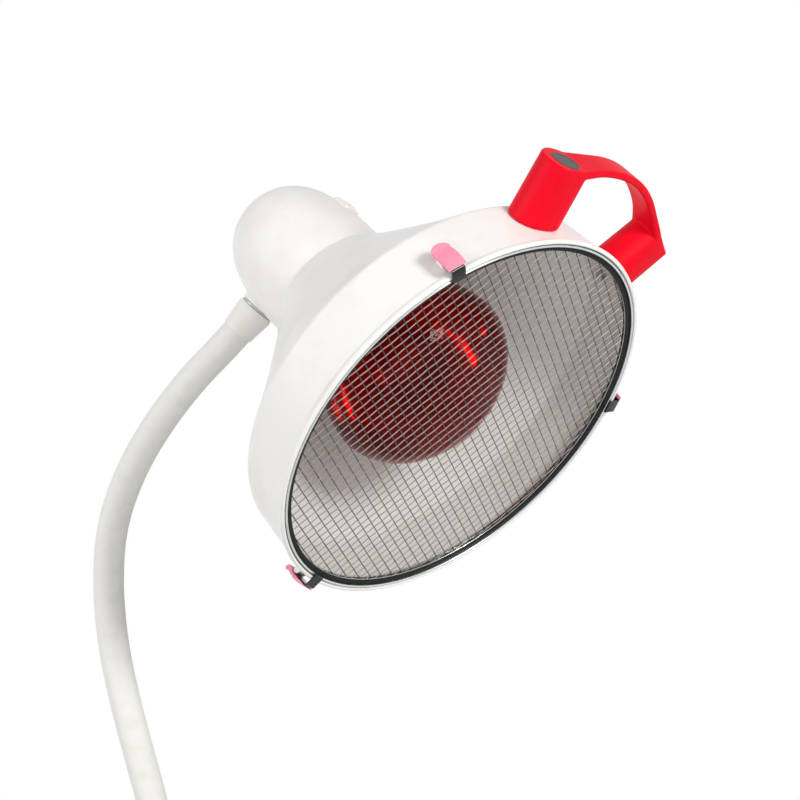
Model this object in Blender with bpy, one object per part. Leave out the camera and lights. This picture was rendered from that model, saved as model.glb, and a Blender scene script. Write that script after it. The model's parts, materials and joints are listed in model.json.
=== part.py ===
"""Infrared heat therapy lamp: a round shade with a guard grille, carried by a flexible arm.

Metres, +Z up. The origin is the middle of the spigot's flat lower end. The arm stands up
from there in the XZ plane, and the head is turned about the arm's upper end, towards -Y.

The head is modelled in its own frame: z runs out of the mouth along the lamp's axis and is 0
in the plane of the grille, x points away from the arm, and y completes a right-handed frame.
"""

import math

import bmesh
import bpy
import numpy as np
from mathutils import Matrix, Vector

MM = 0.001

# Clearance between pieces that touch, and how far a cutter runs past what it cuts
GAP = 0.3 * MM
OVERRUN = 2.0 * MM

# How finely round pieces are divided
SHADE_SIDES = 48
HOUSING_SIDES = 32
BULB_SIDES = 22
HOSE_SIDES = 14
FERRULE_SIDES = 20
SMALL_SIDES = 10
POST_SIDES = 36
PLUG_SIDES = 20

# The arm's pose as it stands: how it leans, from the vertical, and how far the head is turned
ARM_UPPER_LEAN = math.radians(42.4)
HEAD_TURN = math.radians(-26.0)

# Flexible arm
HOSE_RADIUS = 10.5 * MM
HOSE_BORE = 4.2 * MM
ARM_LENGTH = 430.0 * MM
ARM_JOINTS = 8
ARM_STEP = 1.0 * MM
BALL_RADIUS = 9.6 * MM
SOCKET_RADIUS = 10.4 * MM
SOCKET_LIP = 4.5 * MM
BALL_RING_SHARES = (0.5,)
SECTION_RINGS = 2

# The arm's lean at shares of its length from the foot, as shares of the lean at its top
ARM_LEAN_SHARES = (
    (0.0, 0.0),
    (0.105, -0.21),
    (0.198, -0.377),
    (0.302, -0.377),
    (0.395, -0.293),
    (0.488, -0.127),
    (0.581, 0.087),
    (0.674, 0.468),
    (0.767, 0.743),
    (0.86, 0.926),
    (0.942, 1.078),
    (1.0, 1.0),
)

# Spigot and lower ferrule
SPIGOT_RADIUS = 8.0 * MM
SPIGOT_LENGTH = 40.0 * MM
SPIGOT_CHAMFER = 1.0 * MM
SPIGOT_FLANGE_RADIUS = 12.0 * MM
SPIGOT_FLANGE = 4.0 * MM
SPIGOT_STUD_RADIUS = 4.6 * MM
LOWER_FERRULE_RADIUS = 13.2 * MM
LOWER_FERRULE_LENGTH = 32.0 * MM
FERRULE_FLOOR = 6.0 * MM
FERRULE_CHAMFER = 1.6 * MM
GRUB_RADIUS = 2.0 * MM
GRUB_DEPTH = 2.2 * MM
GRUB_HEIGHT_SHARE = 0.62

# Upper ferrule and the swivel it carries, measured from the lamp's axis along the arm's end
UPPER_FERRULE_RADIUS = 13.0 * MM
UPPER_FERRULE_END_RADIUS = 11.9 * MM
UPPER_FERRULE_LENGTH = 20.0 * MM
UPPER_FERRULE_FLOOR = 6.0 * MM
SWIVEL_WASHER_RADIUS = 11.6 * MM
SWIVEL_WASHER = 1.2 * MM
STUD_RADIUS = 5.0 * MM
STUD_BORE = 3.4 * MM
STUD_REACH = 11.0 * MM
NUT_FLATS = 14.0 * MM
NUT_HEIGHT = 4.6 * MM

# The rear housing's radius, which the shade's shoulder and what is inside follow
HOUSING_RADIUS = 45.2 * MM

# Shade
SHADE_WALL = 0.9 * MM
BAND_FRONT_RADIUS = 133.0 * MM
BAND_TAPER = 1.8 * MM
BAND_BACK_RADIUS = BAND_FRONT_RADIUS - BAND_TAPER
BAND_DEPTH = 41.5 * MM
BAND_CORNER = 4.0 * MM
SHOULDER_MARGIN = 1.4 * MM
SHOULDER_RADIUS = HOUSING_RADIUS + SHOULDER_MARGIN
SHOULDER_DEPTH = 138.4 * MM
CONE_SHARES = ((0.192, 0.215), (0.397, 0.430), (0.602, 0.638), (0.81, 0.842))
NECK_HOLE_RADIUS = 29.5 * MM
LIP_WIDTH = 3.0 * MM
LIP_FRONT = 1.6 * MM
LIP_BACK = 3.2 * MM
LIP_SHARES = ((0.0, 0.8), (0.3, 1.0), (0.75, 0.83), (1.0, 0.1), (0.8, -1.1))
LEDGE_DEPTH = 5.2 * MM
LEDGE_THICKNESS = 1.2 * MM
LEDGE_WIDTH = 2.2 * MM

# Guard grille
FRAME_CLEARANCE = 0.7 * MM
FRAME_OUTER_RADIUS = BAND_FRONT_RADIUS - SHADE_WALL - FRAME_CLEARANCE
FRAME_WIDTH = 5.0 * MM
FRAME_FRONT = -1.1 * MM
FRAME_LEG = 0.8 * MM
FRAME_WEB = 1.5 * MM
MESH_PITCH = 18.0 * MM
MESH_WIRE = 1.5 * MM
MESH_THICKNESS = 0.9 * MM
MESH_TURN = math.radians(-17.0)
MESH_LEAST_GAP_SHARE = 0.2
GASKET_WIDTH = 3.0 * MM
GASKET_THICKNESS = 0.8 * MM
GASKET_INSET = 1.0 * MM

# Rear housing
HOUSING_WALL = 2.0 * MM
HOUSING_BARREL = 11.5 * MM
HOUSING_DOME = 79.5 * MM
DOME_POWER = 2.84
DOME_ANGLES = tuple(math.radians(a) for a in (11, 22, 34, 46, 58, 70, 81))
HOUSING_SCREW_AZIMUTHS = tuple(math.radians(a) for a in (45, 135, 225, 315))
HOUSING_SCREW_INSET = 4.4 * MM
HOUSING_SCREW_CIRCLE = HOUSING_RADIUS - HOUSING_SCREW_INSET
HOUSING_SCREW_RADIUS = 1.4 * MM
HOUSING_SCREW_HEAD_RADIUS = 2.6 * MM
HOUSING_SCREW_HEAD = 1.6 * MM
HOUSING_SCREW_LENGTH = 9.0 * MM
HOUSING_PILLAR_RADIUS = 3.4 * MM
HOUSING_PILLAR = 12.0 * MM
ARM_BOSS_RADIUS = 12.6 * MM
ARM_BOSS_DROP = 0.3 * MM
ARM_BOSS_DEPTH = 5.2 * MM
ARM_AXIS_SET_BACK = 42.6 * MM
ARM_AXIS_DEPTH = SHOULDER_DEPTH + ARM_AXIS_SET_BACK

# Rocker switch, opposite the arm
SWITCH_LENGTH = 19.0 * MM
SWITCH_WIDTH = 13.0 * MM
SWITCH_BEZEL = 1.0 * MM
SWITCH_BODY_LENGTH = 17.0 * MM
SWITCH_BODY_WIDTH = 11.0 * MM
SWITCH_BODY_DEPTH = 13.0 * MM
SWITCH_PAD_DROP = 0.6 * MM
SWITCH_PAD_MARGIN = 0.8 * MM
SWITCH_WALL = 1.0 * MM
ROCKER_LENGTH = 14.4 * MM
ROCKER_PIVOT_DROP = 2.8 * MM
ROCKER_CROWN = 3.5 * MM
ROCKER_DISH = 1.0 * MM
ROCKER_SKIRT = 1.2 * MM
ROCKER_KEEL = 4.0 * MM
ROCKER_KEEL_SHARE = 0.38
ROCKER_POCKET = 5.6 * MM
ROCKER_THROW = math.radians(7.0)

# Lamp holder and the bracket behind it
HOLDER_RADIUS = 23.0 * MM
HOLDER_SET_BACK = 11.6 * MM
HOLDER_FRONT_DEPTH = SHOULDER_DEPTH + HOLDER_SET_BACK
HOLDER_LENGTH = 48.0 * MM
HOLDER_EDGE = 2.0 * MM
SHELL_RADIUS = 14.4 * MM
SHELL_WALL = 0.6 * MM
SHELL_LENGTH = 34.0 * MM
SHELL_SET_BACK = 3.0 * MM
CONTACT_RADIUS = 4.5 * MM
CONTACT_THICKNESS = 2.0 * MM
CONTACT_STEM_RADIUS = 2.0 * MM
CONTACT_TAIL = 3.0 * MM
BRACKET_STRIP = 1.5 * MM
BRACKET_WIDTH = 14.0 * MM
BRACKET_FOOT = 9.0 * MM
BRACKET_PLACE_SHARE = 0.6907
BRACKET_ROOM = HOUSING_RADIUS - HOUSING_WALL - BRACKET_FOOT - HOLDER_RADIUS - BRACKET_STRIP
BRACKET_HALF_SPAN = HOLDER_RADIUS + BRACKET_STRIP + BRACKET_PLACE_SHARE * BRACKET_ROOM
BRACKET_HOLE_RADIUS = 5.0 * MM
HOLDER_SCREW_OFFSET = 18.6 * MM
HOLDER_SCREW_RADIUS = 1.5 * MM
HOLDER_SCREW_HEAD_RADIUS = 3.0 * MM
HOLDER_SCREW_HEAD = 2.0 * MM
HOLDER_SCREW_BITE = 7.0 * MM

# Reflector bulb
BULB_RADIUS = 62.5 * MM
BULB_WALL = 1.0 * MM
BULB_FRONT_DEPTH = 5.0 * MM
BULB_DOME = 46.2 * MM
BULB_SEAT = 3.2 * MM
BULB_BODY = HOLDER_FRONT_DEPTH + BULB_SEAT - BULB_FRONT_DEPTH - BULB_DOME
BULB_NECK_RADIUS = 12.9 * MM
BULB_TAIL_RADIUS = 12.2 * MM
BULB_TAIL = 7.0 * MM
BULB_DOME_ANGLES = tuple(math.radians(a) for a in (0, 16, 32, 48, 64, 79))
BULB_BODY_SHARES = (
    (0.16, 0.955),
    (0.33, 0.82),
    (0.50, 0.64),
    (0.66, 0.46),
    (0.80, 0.33),
    (0.91, 0.25),
)
CAP_RADIUS = 13.3 * MM
CAP_WALL = 0.5 * MM
CAP_LENGTH = 25.5 * MM
CAP_NOSE = 4.0 * MM
CAP_NOSE_RADIUS = 8.0 * MM
CAP_CONTACT_RADIUS = 4.6 * MM
CAP_CONTACT = 1.6 * MM
STEM_FLARE_RADIUS = 10.4 * MM
STEM_RADIUS = 4.0 * MM
STEM_FLARE = 8.0 * MM
STEM_LENGTH = 42.0 * MM
FILAMENT_RADIUS = 15.0 * MM
FILAMENT_WIRE = 0.8 * MM
FILAMENT_DEPTH = 66.0 * MM
FILAMENT_OPENING = math.radians(24.0)
FILAMENT_ARC_POINTS = 12

# Handle, a bow between two round posts on the shade's band
HANDLE_AZIMUTH = math.radians(2.9)
HANDLE_HALF_ANGLE = math.radians(22.3)
HANDLE_SPLAY = math.radians(19.3)
HANDLE_HEIGHT = 38.6 * MM
HANDLE_CROWN = 7.4 * MM
HANDLE_MIDDLE_DEPTH = 25.6 * MM
POST_RADIUS = 15.4 * MM
POST_FLAT = 1.3 * MM
POST_FLAT_TILT = math.radians(5.0)
BOW_THICKNESS = 5.0 * MM
BOW_SINK = 0.6 * MM
BOW_WIDTH = 20.0 * MM
BOW_END_WIDTH = 27.0 * MM
BOW_STEPS = 12
PLUG_RADIUS = 9.2 * MM
PLUG_THICKNESS = 2.6 * MM
PLUG_PROUD = 0.3 * MM
HANDLE_SCREW_RADIUS = 2.2 * MM
HANDLE_SCREW_HEAD_RADIUS = 4.2 * MM
HANDLE_SCREW_HEAD = 3.0 * MM
HANDLE_SCREW_FLOOR = 6.0 * MM
HANDLE_SCREW_TIP = 6.0 * MM
HANDLE_SCREW_PASS = 0.4 * MM
HANDLE_NUT_FLATS = 8.0 * MM
HANDLE_NUT_HEIGHT = 3.2 * MM
HANDLE_NUT_STAND_OFF = 1.9 * MM

# Spring clips that hold the grille
CLIP_AZIMUTHS = tuple(math.radians(a) for a in (59.2, 175.2, 298.1))
CLIP_STAND_OFF = 4.0 * MM
CLIP_PIVOT_RADIUS = BAND_FRONT_RADIUS + CLIP_STAND_OFF
CLIP_PIVOT_DEPTH = 10.0 * MM
CLIP_WIDTH = 8.9 * MM
CLIP_EYE_WIDTH = 6.2 * MM
CLIP_STEEL = 1.0 * MM
CLIP_EYE_RADIUS = 2.5 * MM
CLIP_NOSE_REACH = 9.8 * MM
CLIP_CORNER = 2.0 * MM
CLIP_CORNER_SHARE = 0.3
CLIP_EYE_END = math.radians(135.0)
CLIP_EYE_STEPS = 7
CLIP_PIN_RADIUS = 1.0 * MM
EAR_THICKNESS = 1.0 * MM
EAR_RADIUS = 2.2 * MM
EAR_STEPS = 6
EAR_HALF_LENGTH = 3.4 * MM
EAR_PLATE = 1.0 * MM
EAR_PLATE_HALF = 4.2 * MM
TAB_WIDTH = 10.6 * MM
TAB_THICKNESS = 2.1 * MM
TAB_FRONT = 11.0 * MM
TAB_TAIL = 9.2 * MM
TAB_OUTER_SHARES = (
    (0.96, 0.3),
    (0.62, 0.9),
    (0.25, 1.0),
    (-0.2, 0.62),
    (-0.5, 0.5),
    (-0.75, 0.85),
    (-0.93, 0.9),
    (-1.0, 0.35),
)
TAB_INNER_SHARES = (
    (-0.94, -0.35),
    (-0.78, -0.72),
    (-0.55, -0.9),
    (-0.34, -0.86),
    (-0.19, -0.3),
)

# Terminal block and the leads between it, the switch and the holder
TERMINAL_DEPTH = 10.0 * MM
TERMINAL_LENGTH = 18.0 * MM
TERMINAL_HEIGHT = 14.0 * MM
TERMINAL_PLACE_SHARE = 0.7353
TERMINAL_ROOM = HOUSING_RADIUS - HOUSING_WALL - HOLDER_RADIUS - TERMINAL_DEPTH
TERMINAL_RADIUS = HOLDER_RADIUS + TERMINAL_DEPTH / 2 + TERMINAL_PLACE_SHARE * TERMINAL_ROOM
LEAD_RADIUS = 1.2 * MM
LEAD_RING_OFFSET = 0.5 * MM
LEAD_RING_RADIUS = TERMINAL_RADIUS + LEAD_RING_OFFSET
LEAD_POINTS = 12
LEAD_REAR = 8.0 * MM
LEAD_RISE = 3.0 * MM
LEAD_SPACING = 6.0 * MM
LEAD_NEUTRAL_TURN = math.radians(-32.0)
LEAD_BOW = 2.0 * MM

# Colour, roughness and metallic value of each finish
FINISHES = {
    "white_enamel": ((0.92, 0.91, 0.89), 0.30, 0.0),
    "white_plastic": ((0.90, 0.89, 0.86), 0.42, 0.0),
    "white_sleeve": ((0.84, 0.83, 0.78), 0.50, 0.0),
    "red_plastic": ((0.80, 0.01, 0.03), 0.38, 0.0),
    "pink_plastic": ((0.93, 0.36, 0.44), 0.45, 0.0),
    "grey_plastic": ((0.14, 0.14, 0.14), 0.55, 0.0),
    "red_glass": ((0.35, 0.01, 0.01), 0.08, 0.0),
    "clear_glass": ((0.85, 0.88, 0.88), 0.05, 0.0),
    "bright_steel": ((0.62, 0.62, 0.62), 0.22, 1.0),
    "dark_steel": ((0.05, 0.05, 0.05), 0.35, 1.0),
    "black_gasket": ((0.01, 0.01, 0.01), 0.60, 0.0),
    "ceramic": ((0.86, 0.85, 0.81), 0.25, 0.0),
    "brass": ((0.75, 0.55, 0.22), 0.30, 1.0),
    "tungsten": ((0.30, 0.30, 0.31), 0.45, 1.0),
    "brown_lead": ((0.20, 0.09, 0.04), 0.50, 0.0),
    "blue_lead": ((0.03, 0.12, 0.45), 0.50, 0.0),
}


def clear_scene():
    """Removes whatever the scene holds, so that only the lamp is left."""
    for existing in list(bpy.data.objects):
        bpy.data.objects.remove(existing, do_unlink=True)


def material_for(name, finish):
    """A Principled material of the node's own, with the finish's values."""
    colour, roughness, metallic = FINISHES[finish]
    material = bpy.data.materials.new(name)
    material.use_nodes = True
    shader = material.node_tree.nodes["Principled BSDF"]
    shader.inputs["Base Color"].default_value = (*colour, 1.0)
    shader.inputs["Roughness"].default_value = roughness
    shader.inputs["Metallic"].default_value = metallic
    material.diffuse_color = (*colour, 1.0)
    return material


def joint_empty(name, matrix, parent=None):
    """An empty on a joint's axis, which the pieces it moves are parented to."""
    empty = bpy.data.objects.new(name, None)
    bpy.context.scene.collection.objects.link(empty)
    empty.empty_display_size = HOSE_RADIUS
    set_place(empty, matrix, parent)
    return empty


def set_place(item, matrix, parent):
    """Puts an object at a world matrix under its parent."""
    item["world"] = [value for row in matrix for value in row]
    if parent is not None:
        item.parent = parent
        item.matrix_parent_inverse = world_of(parent).inverted()
    item.matrix_basis = matrix


def world_of(item):
    """The world matrix that set_place gave an object."""
    values = list(item["world"])
    return Matrix([values[row * 4:row * 4 + 4] for row in range(4)])


def add_object(name, mesh, finish, parent, matrix=None):
    """A named object for a mesh in the parent's frame, or in the one that matrix gives."""
    item = bpy.data.objects.new(name, mesh)
    bpy.context.scene.collection.objects.link(item)
    set_place(item, world_of(parent) if matrix is None else matrix, parent)
    if finish is not None:
        mesh.materials.append(material_for(name, finish))
    mesh.shade_smooth()
    mesh.set_sharp_from_angle(angle=math.radians(35))
    return item


def mesh_from(name, vertices, faces):
    """A mesh with its faces turned outwards."""
    mesh = bpy.data.meshes.new(name)
    mesh.from_pydata([tuple(v) for v in vertices], [], [tuple(f) for f in faces])
    edit = bmesh.new()
    edit.from_mesh(mesh)
    bmesh.ops.recalc_face_normals(edit, faces=edit.faces)
    edit.to_mesh(mesh)
    edit.free()
    return mesh


def skinned(name, rings, looped=False):
    """A mesh through rings of as many points: capped at its ends, or closed into a loop."""
    sides = len(rings[0])
    vertices = [point for ring in rings for point in ring]
    last = len(rings) if looped else len(rings) - 1
    faces = []
    for row in range(last):
        low = row * sides
        high = ((row + 1) % len(rings)) * sides
        for side in range(sides):
            after = (side + 1) % sides
            faces.append((low + side, low + after, high + after, high + side))
    if not looped:
        faces.append(tuple(range(sides)))
        faces.append(tuple(range(last * sides, (last + 1) * sides)))
    return mesh_from(name, vertices, faces)


def turned(name, profile, sides, looped=True):
    """A mesh turned about z from (radius, height) points: looped, or with both ends on the axis."""
    angles = [2 * math.pi * side / sides for side in range(sides)]
    vertices = []
    rows = []
    for radius, height in profile:
        if radius > 0:
            rows.append(list(range(len(vertices), len(vertices) + sides)))
            vertices += [(radius * math.cos(a), radius * math.sin(a), height) for a in angles]
        else:
            rows.append([len(vertices)] * sides)
            vertices.append((0, 0, height))
    faces = []
    pairs = list(zip(rows, rows[1:])) + ([(rows[-1], rows[0])] if looped else [])
    for low, high in pairs:
        for side in range(sides):
            after = (side + 1) % sides
            corners = tuple(dict.fromkeys((low[side], low[after], high[after], high[side])))
            if len(corners) > 2:
                faces.append(corners)
    return mesh_from(name, vertices, faces)


def rod(radius, low, high):
    """The profile of a plain round rod about z."""
    return [(0, low), (radius, low), (radius, high), (0, high)]


def extruded(name, outline, low, high, axes="xyz"):
    """A prism of a closed outline between two levels; axes names outline x, outline y and level."""
    order = ["xyz".index(letter) for letter in axes]
    rings = []
    for level in (low, high):
        ring = []
        for first, second in outline:
            point = [0, 0, 0]
            for place, value in zip(order, (first, second, level)):
                point[place] = value
            ring.append(point)
        rings.append(ring)
    return skinned(name, rings)


def block(name, low, high):
    """A rectangular block between two corners."""
    outline = [(low[0], low[1]), (high[0], low[1]), (high[0], high[1]), (low[0], high[1])]
    return extruded(name, outline, low[2], high[2])


def hexagon(flats):
    """A hexagon's corners, from its width across flats."""
    reach = flats / math.sqrt(3)
    return [(reach * math.cos(k * math.pi / 3), reach * math.sin(k * math.pi / 3)) for k in range(6)]


def cutter(name, mesh, parent, matrix=None):
    """A hidden object that cuts or adds to others."""
    item = add_object(name, mesh, None, parent, matrix)
    item.hide_render = True
    item.display_type = "WIRE"
    return item


def combine(item, other, operation):
    """Adds an exact Boolean modifier."""
    modifier = item.modifiers.new(other.name, "BOOLEAN")
    modifier.operation = operation
    modifier.solver = "EXACT"
    modifier.object = other


def offset_path(points, distance):
    """An open path moved sideways by a distance, to the left of its run, with mitred corners."""
    path = np.array(points, float)
    runs = np.diff(path, axis=0)
    runs /= np.linalg.norm(runs, axis=1)[:, None]
    left = np.c_[-runs[:, 1], runs[:, 0]]
    first = np.vstack([left[:1], left])
    second = np.vstack([left, left[-1:]])
    mitre = (first + second) / (1 + (first * second).sum(1))[:, None]
    return [tuple(point) for point in path + mitre * distance]


def smoothstep(share):
    """0 to 1 with level ends."""
    share = np.clip(share, 0, 1)
    return share * share * (3 - 2 * share)


def azimuth_frame(angle, radius=0, height=0):
    """A frame in the head at an azimuth: x outwards, y along the rim, z along the lamp's axis."""
    turn = Matrix.Rotation(angle, 4, "Z")
    return turn @ Matrix.Translation((radius, 0, height))


def lying_frame(angle, radius, height):
    """A frame in the head whose z points outwards at an azimuth and whose x is the head's z."""
    stand = Matrix(((0, 0, 1, 0), (0, 1, 0, 0), (-1, 0, 0, 0), (0, 0, 0, 1)))
    return azimuth_frame(angle, radius, height) @ stand


# Driven sizes of the arm: its path, worked out from how it leans along its length
ARM_FOOT = SPIGOT_LENGTH + SPIGOT_FLANGE + GAP + LOWER_FERRULE_LENGTH
JOINT_SPACING = ARM_LENGTH / ARM_JOINTS
JOINT_STATIONS = [JOINT_SPACING * (k + 0.5) for k in range(ARM_JOINTS)]


def arm_lean(station):
    """The arm's lean from the vertical at a distance along it from the lower ferrule."""
    shares, leans = zip(*ARM_LEAN_SHARES)
    return ARM_UPPER_LEAN * np.interp(station / ARM_LENGTH, shares, leans)


def arm_path():
    """Stations along the arm, and its points there, by summing short steps along its lean."""
    steps = int(round(ARM_LENGTH / ARM_STEP))
    stations = np.linspace(0, ARM_LENGTH, steps + 1)
    middle = arm_lean((stations[1:] + stations[:-1]) / 2)
    runs = np.diff(stations)
    x = np.r_[0, np.cumsum(np.sin(middle) * runs)]
    z = ARM_FOOT + np.r_[0, np.cumsum(np.cos(middle) * runs)]
    return stations, x, z


STATIONS, PATH_X, PATH_Z = arm_path()


def arm_frame(station):
    """The frame at a station of the arm: z along it, y along the world's y."""
    held = min(max(station, 0), ARM_LENGTH)
    lean = float(arm_lean(held))
    along = Vector((math.sin(lean), 0, math.cos(lean)))
    point = Vector((np.interp(held, STATIONS, PATH_X), 0, np.interp(held, STATIONS, PATH_Z)))
    point += along * (station - held)
    return Matrix.Translation(point) @ Matrix.Rotation(lean, 4, "Y")


# Places along the arm's end, as distances from the lamp's axis
BOSS_FACE = HOUSING_RADIUS - ARM_BOSS_DROP
WASHER_FACE = BOSS_FACE + GAP + SWIVEL_WASHER
FERRULE_TOP = WASHER_FACE + GAP
FERRULE_BOTTOM = FERRULE_TOP + UPPER_FERRULE_LENGTH
HOSE_TOP = FERRULE_TOP + UPPER_FERRULE_FLOOR + GAP

# The swivel's frame has its z along the arm's end, and the head's frame is turned about it
SWIVEL_FRAME = arm_frame(ARM_LENGTH + FERRULE_BOTTOM)
TURNED_SWIVEL = SWIVEL_FRAME @ Matrix.Rotation(HEAD_TURN, 4, "Z")
HEAD_AXES = Matrix(((0, 0, 1, 0), (0, -1, 0, 0), (1, 0, 0, 0), (0, 0, 0, 1)))
HEAD_FRAME = TURNED_SWIVEL @ HEAD_AXES @ Matrix.Translation((0, 0, ARM_AXIS_DEPTH))


def ring_at(frame, radius, height=0.0):
    """A ring of points about a frame's z, at a height above its origin."""
    angles = [2 * math.pi * side / HOSE_SIDES for side in range(HOSE_SIDES)]
    flat = [Vector((radius * math.cos(a), radius * math.sin(a), height)) for a in angles]
    return [frame @ point for point in flat]


def round_ring(frame, radius, angle):
    """The ring of a ball of a radius about a frame's origin, at an angle over its middle."""
    return ring_at(frame, radius * math.cos(angle), radius * math.sin(angle))


def section_rings(low, high, socket, ball):
    """Rings of one arm section: up its outside, over its ball, down its bore and round its socket."""
    first = low + (SOCKET_LIP if socket else 0)
    share = np.linspace(0, 1, SECTION_RINGS + 1)
    middle = [first + (high - first) * s for s in share[1:-1]]
    low_frame = arm_frame(low)
    high_frame = arm_frame(high)
    rings = [ring_at(low_frame, HOSE_RADIUS, first - low)]
    rings += [ring_at(arm_frame(s), HOSE_RADIUS) for s in middle]
    rings.append(ring_at(high_frame, HOSE_RADIUS))
    if ball:
        rings.append(ring_at(high_frame, BALL_RADIUS))
        top = math.acos(HOSE_BORE / BALL_RADIUS)
        for angle in [top * s for s in BALL_RING_SHARES] + [top]:
            rings.append(round_ring(high_frame, BALL_RADIUS, angle))
    rings.append(ring_at(high_frame, HOSE_BORE))
    rings += [ring_at(arm_frame(s), HOSE_BORE) for s in reversed(middle)]
    if socket:
        top = math.acos(HOSE_BORE / SOCKET_RADIUS)
        rim = math.asin(SOCKET_LIP / SOCKET_RADIUS)
        for angle in (top, (top + rim) / 2, rim):
            rings.append(round_ring(low_frame, SOCKET_RADIUS, angle))
    else:
        rings.append(ring_at(low_frame, HOSE_BORE))
    return rings


def add_section(name, low, high, socket, ball, parent):
    """One section of the flexible arm, modelled about its lower joint."""
    home = world_of(parent).inverted()
    rings = [[home @ point for point in ring] for ring in section_rings(low, high, socket, ball)]
    return add_object(name, skinned(name, rings, looped=True), "white_sleeve", parent)


def build_base():
    """The spigot, its ferrule and grub screw, and the arm's fixed foot."""
    base = joint_empty("base", Matrix.Identity(4))
    flange_top = SPIGOT_LENGTH + SPIGOT_FLANGE
    floor_low = flange_top + GAP
    floor_high = floor_low + FERRULE_FLOOR
    profile = [
        (0, 0),
        (SPIGOT_RADIUS - SPIGOT_CHAMFER, 0),
        (SPIGOT_RADIUS, SPIGOT_CHAMFER),
        (SPIGOT_RADIUS, SPIGOT_LENGTH),
        (SPIGOT_FLANGE_RADIUS, SPIGOT_LENGTH),
        (SPIGOT_FLANGE_RADIUS, flange_top),
        (SPIGOT_STUD_RADIUS, flange_top),
        (SPIGOT_STUD_RADIUS, floor_high - GAP),
        (0, floor_high - GAP),
    ]
    mesh = turned("spigot", profile, FERRULE_SIDES, looped=False)
    add_object("spigot", mesh, "bright_steel", base)

    outer = LOWER_FERRULE_RADIUS
    bore = HOSE_RADIUS + GAP
    hole = SPIGOT_STUD_RADIUS + GAP
    profile = [
        (hole, floor_low),
        (outer - FERRULE_CHAMFER, floor_low),
        (outer, floor_low + FERRULE_CHAMFER),
        (outer, ARM_FOOT - FERRULE_CHAMFER),
        (outer - FERRULE_CHAMFER / 2, ARM_FOOT),
        (bore, ARM_FOOT),
        (bore, floor_high),
        (hole, floor_high),
    ]
    mesh = turned("lower_ferrule", profile, FERRULE_SIDES)
    ferrule = add_object("lower_ferrule", mesh, "white_enamel", base)
    grub_height = floor_low + LOWER_FERRULE_LENGTH * GRUB_HEIGHT_SHARE
    side = Matrix.Translation((0, 0, grub_height)) @ Matrix.Rotation(math.pi / 2, 4, "Y")
    hole_profile = rod(GRUB_RADIUS + GAP, 0, outer + OVERRUN)
    mesh = turned("grub_hole", hole_profile, SMALL_SIDES, looped=False)
    combine(ferrule, cutter("grub_hole", mesh, base, side), "DIFFERENCE")
    low = bore + GAP
    grub = rod(GRUB_RADIUS, low, low + GRUB_DEPTH)
    mesh = turned("grub_screw", grub, SMALL_SIDES, looped=False)
    add_object("grub_screw", mesh, "dark_steel", base, side)

    foot_low = floor_high + GAP - ARM_FOOT
    add_section("arm_foot", foot_low, JOINT_STATIONS[0], False, True, base)
    return base


def build_arm(base):
    """The arm's moving sections, each under an empty at its lower joint; gives the last empty."""
    parent = base
    for k, station in enumerate(JOINT_STATIONS):
        parent = joint_empty(f"arm_joint_{k + 1}", arm_frame(station), parent)
        last = k == ARM_JOINTS - 1
        high = ARM_LENGTH + FERRULE_BOTTOM - HOSE_TOP if last else JOINT_STATIONS[k + 1]
        add_section(f"arm_section_{k + 1}", station, high, True, not last, parent)
    return parent


def build_swivel(arm_end):
    """The upper ferrule with the hollow stud, washer and nut that carry the head."""
    frame = SWIVEL_FRAME
    outer = UPPER_FERRULE_RADIUS
    bore = HOSE_RADIUS + GAP
    hole = STUD_RADIUS + GAP
    profile = [
        (bore, -FERRULE_BOTTOM),
        (UPPER_FERRULE_END_RADIUS, -FERRULE_BOTTOM),
        (outer, -FERRULE_TOP - FERRULE_CHAMFER / 2),
        (outer - FERRULE_CHAMFER / 2, -FERRULE_TOP),
        (hole, -FERRULE_TOP),
        (hole, -FERRULE_TOP - UPPER_FERRULE_FLOOR),
        (bore, -FERRULE_TOP - UPPER_FERRULE_FLOOR),
    ]
    mesh = turned("upper_ferrule", profile, FERRULE_SIDES)
    add_object("upper_ferrule", mesh, "white_enamel", arm_end, frame)

    washer = [
        (hole, -WASHER_FACE),
        (SWIVEL_WASHER_RADIUS, -WASHER_FACE),
        (SWIVEL_WASHER_RADIUS, -BOSS_FACE - GAP),
        (hole, -BOSS_FACE - GAP),
    ]
    mesh = turned("swivel_washer", washer, FERRULE_SIDES)
    add_object("swivel_washer", mesh, "bright_steel", arm_end, frame)

    boss_inside = BOSS_FACE - ARM_BOSS_DEPTH
    stud_low = -FERRULE_TOP - UPPER_FERRULE_FLOOR + GAP
    stud_high = -BOSS_FACE + STUD_REACH
    stud = [
        (STUD_BORE, stud_low),
        (STUD_RADIUS, stud_low),
        (STUD_RADIUS, stud_high),
        (STUD_BORE, stud_high),
    ]
    mesh = turned("swivel_stud", stud, SMALL_SIDES)
    add_object("swivel_stud", mesh, "bright_steel", arm_end, frame)

    nut_low = -boss_inside + GAP
    mesh = extruded("swivel_nut", hexagon(NUT_FLATS), nut_low, nut_low + NUT_HEIGHT)
    nut = add_object("swivel_nut", mesh, "bright_steel", arm_end, frame)
    bore_mesh = turned(
        "nut_bore",
        rod(STUD_RADIUS + GAP, nut_low - OVERRUN, nut_low + NUT_HEIGHT + OVERRUN),
        SMALL_SIDES,
        looped=False,
    )
    combine(nut, cutter("nut_bore", bore_mesh, arm_end, frame), "DIFFERENCE")


def cone_points():
    """Points (radius, height) down the cone, from behind the band to the shoulder."""
    width = BAND_BACK_RADIUS - SHOULDER_RADIUS
    height = SHOULDER_DEPTH - BAND_DEPTH
    return [
        (BAND_BACK_RADIUS - width * across, -BAND_DEPTH - height * along)
        for along, across in CONE_SHARES
    ]


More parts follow.
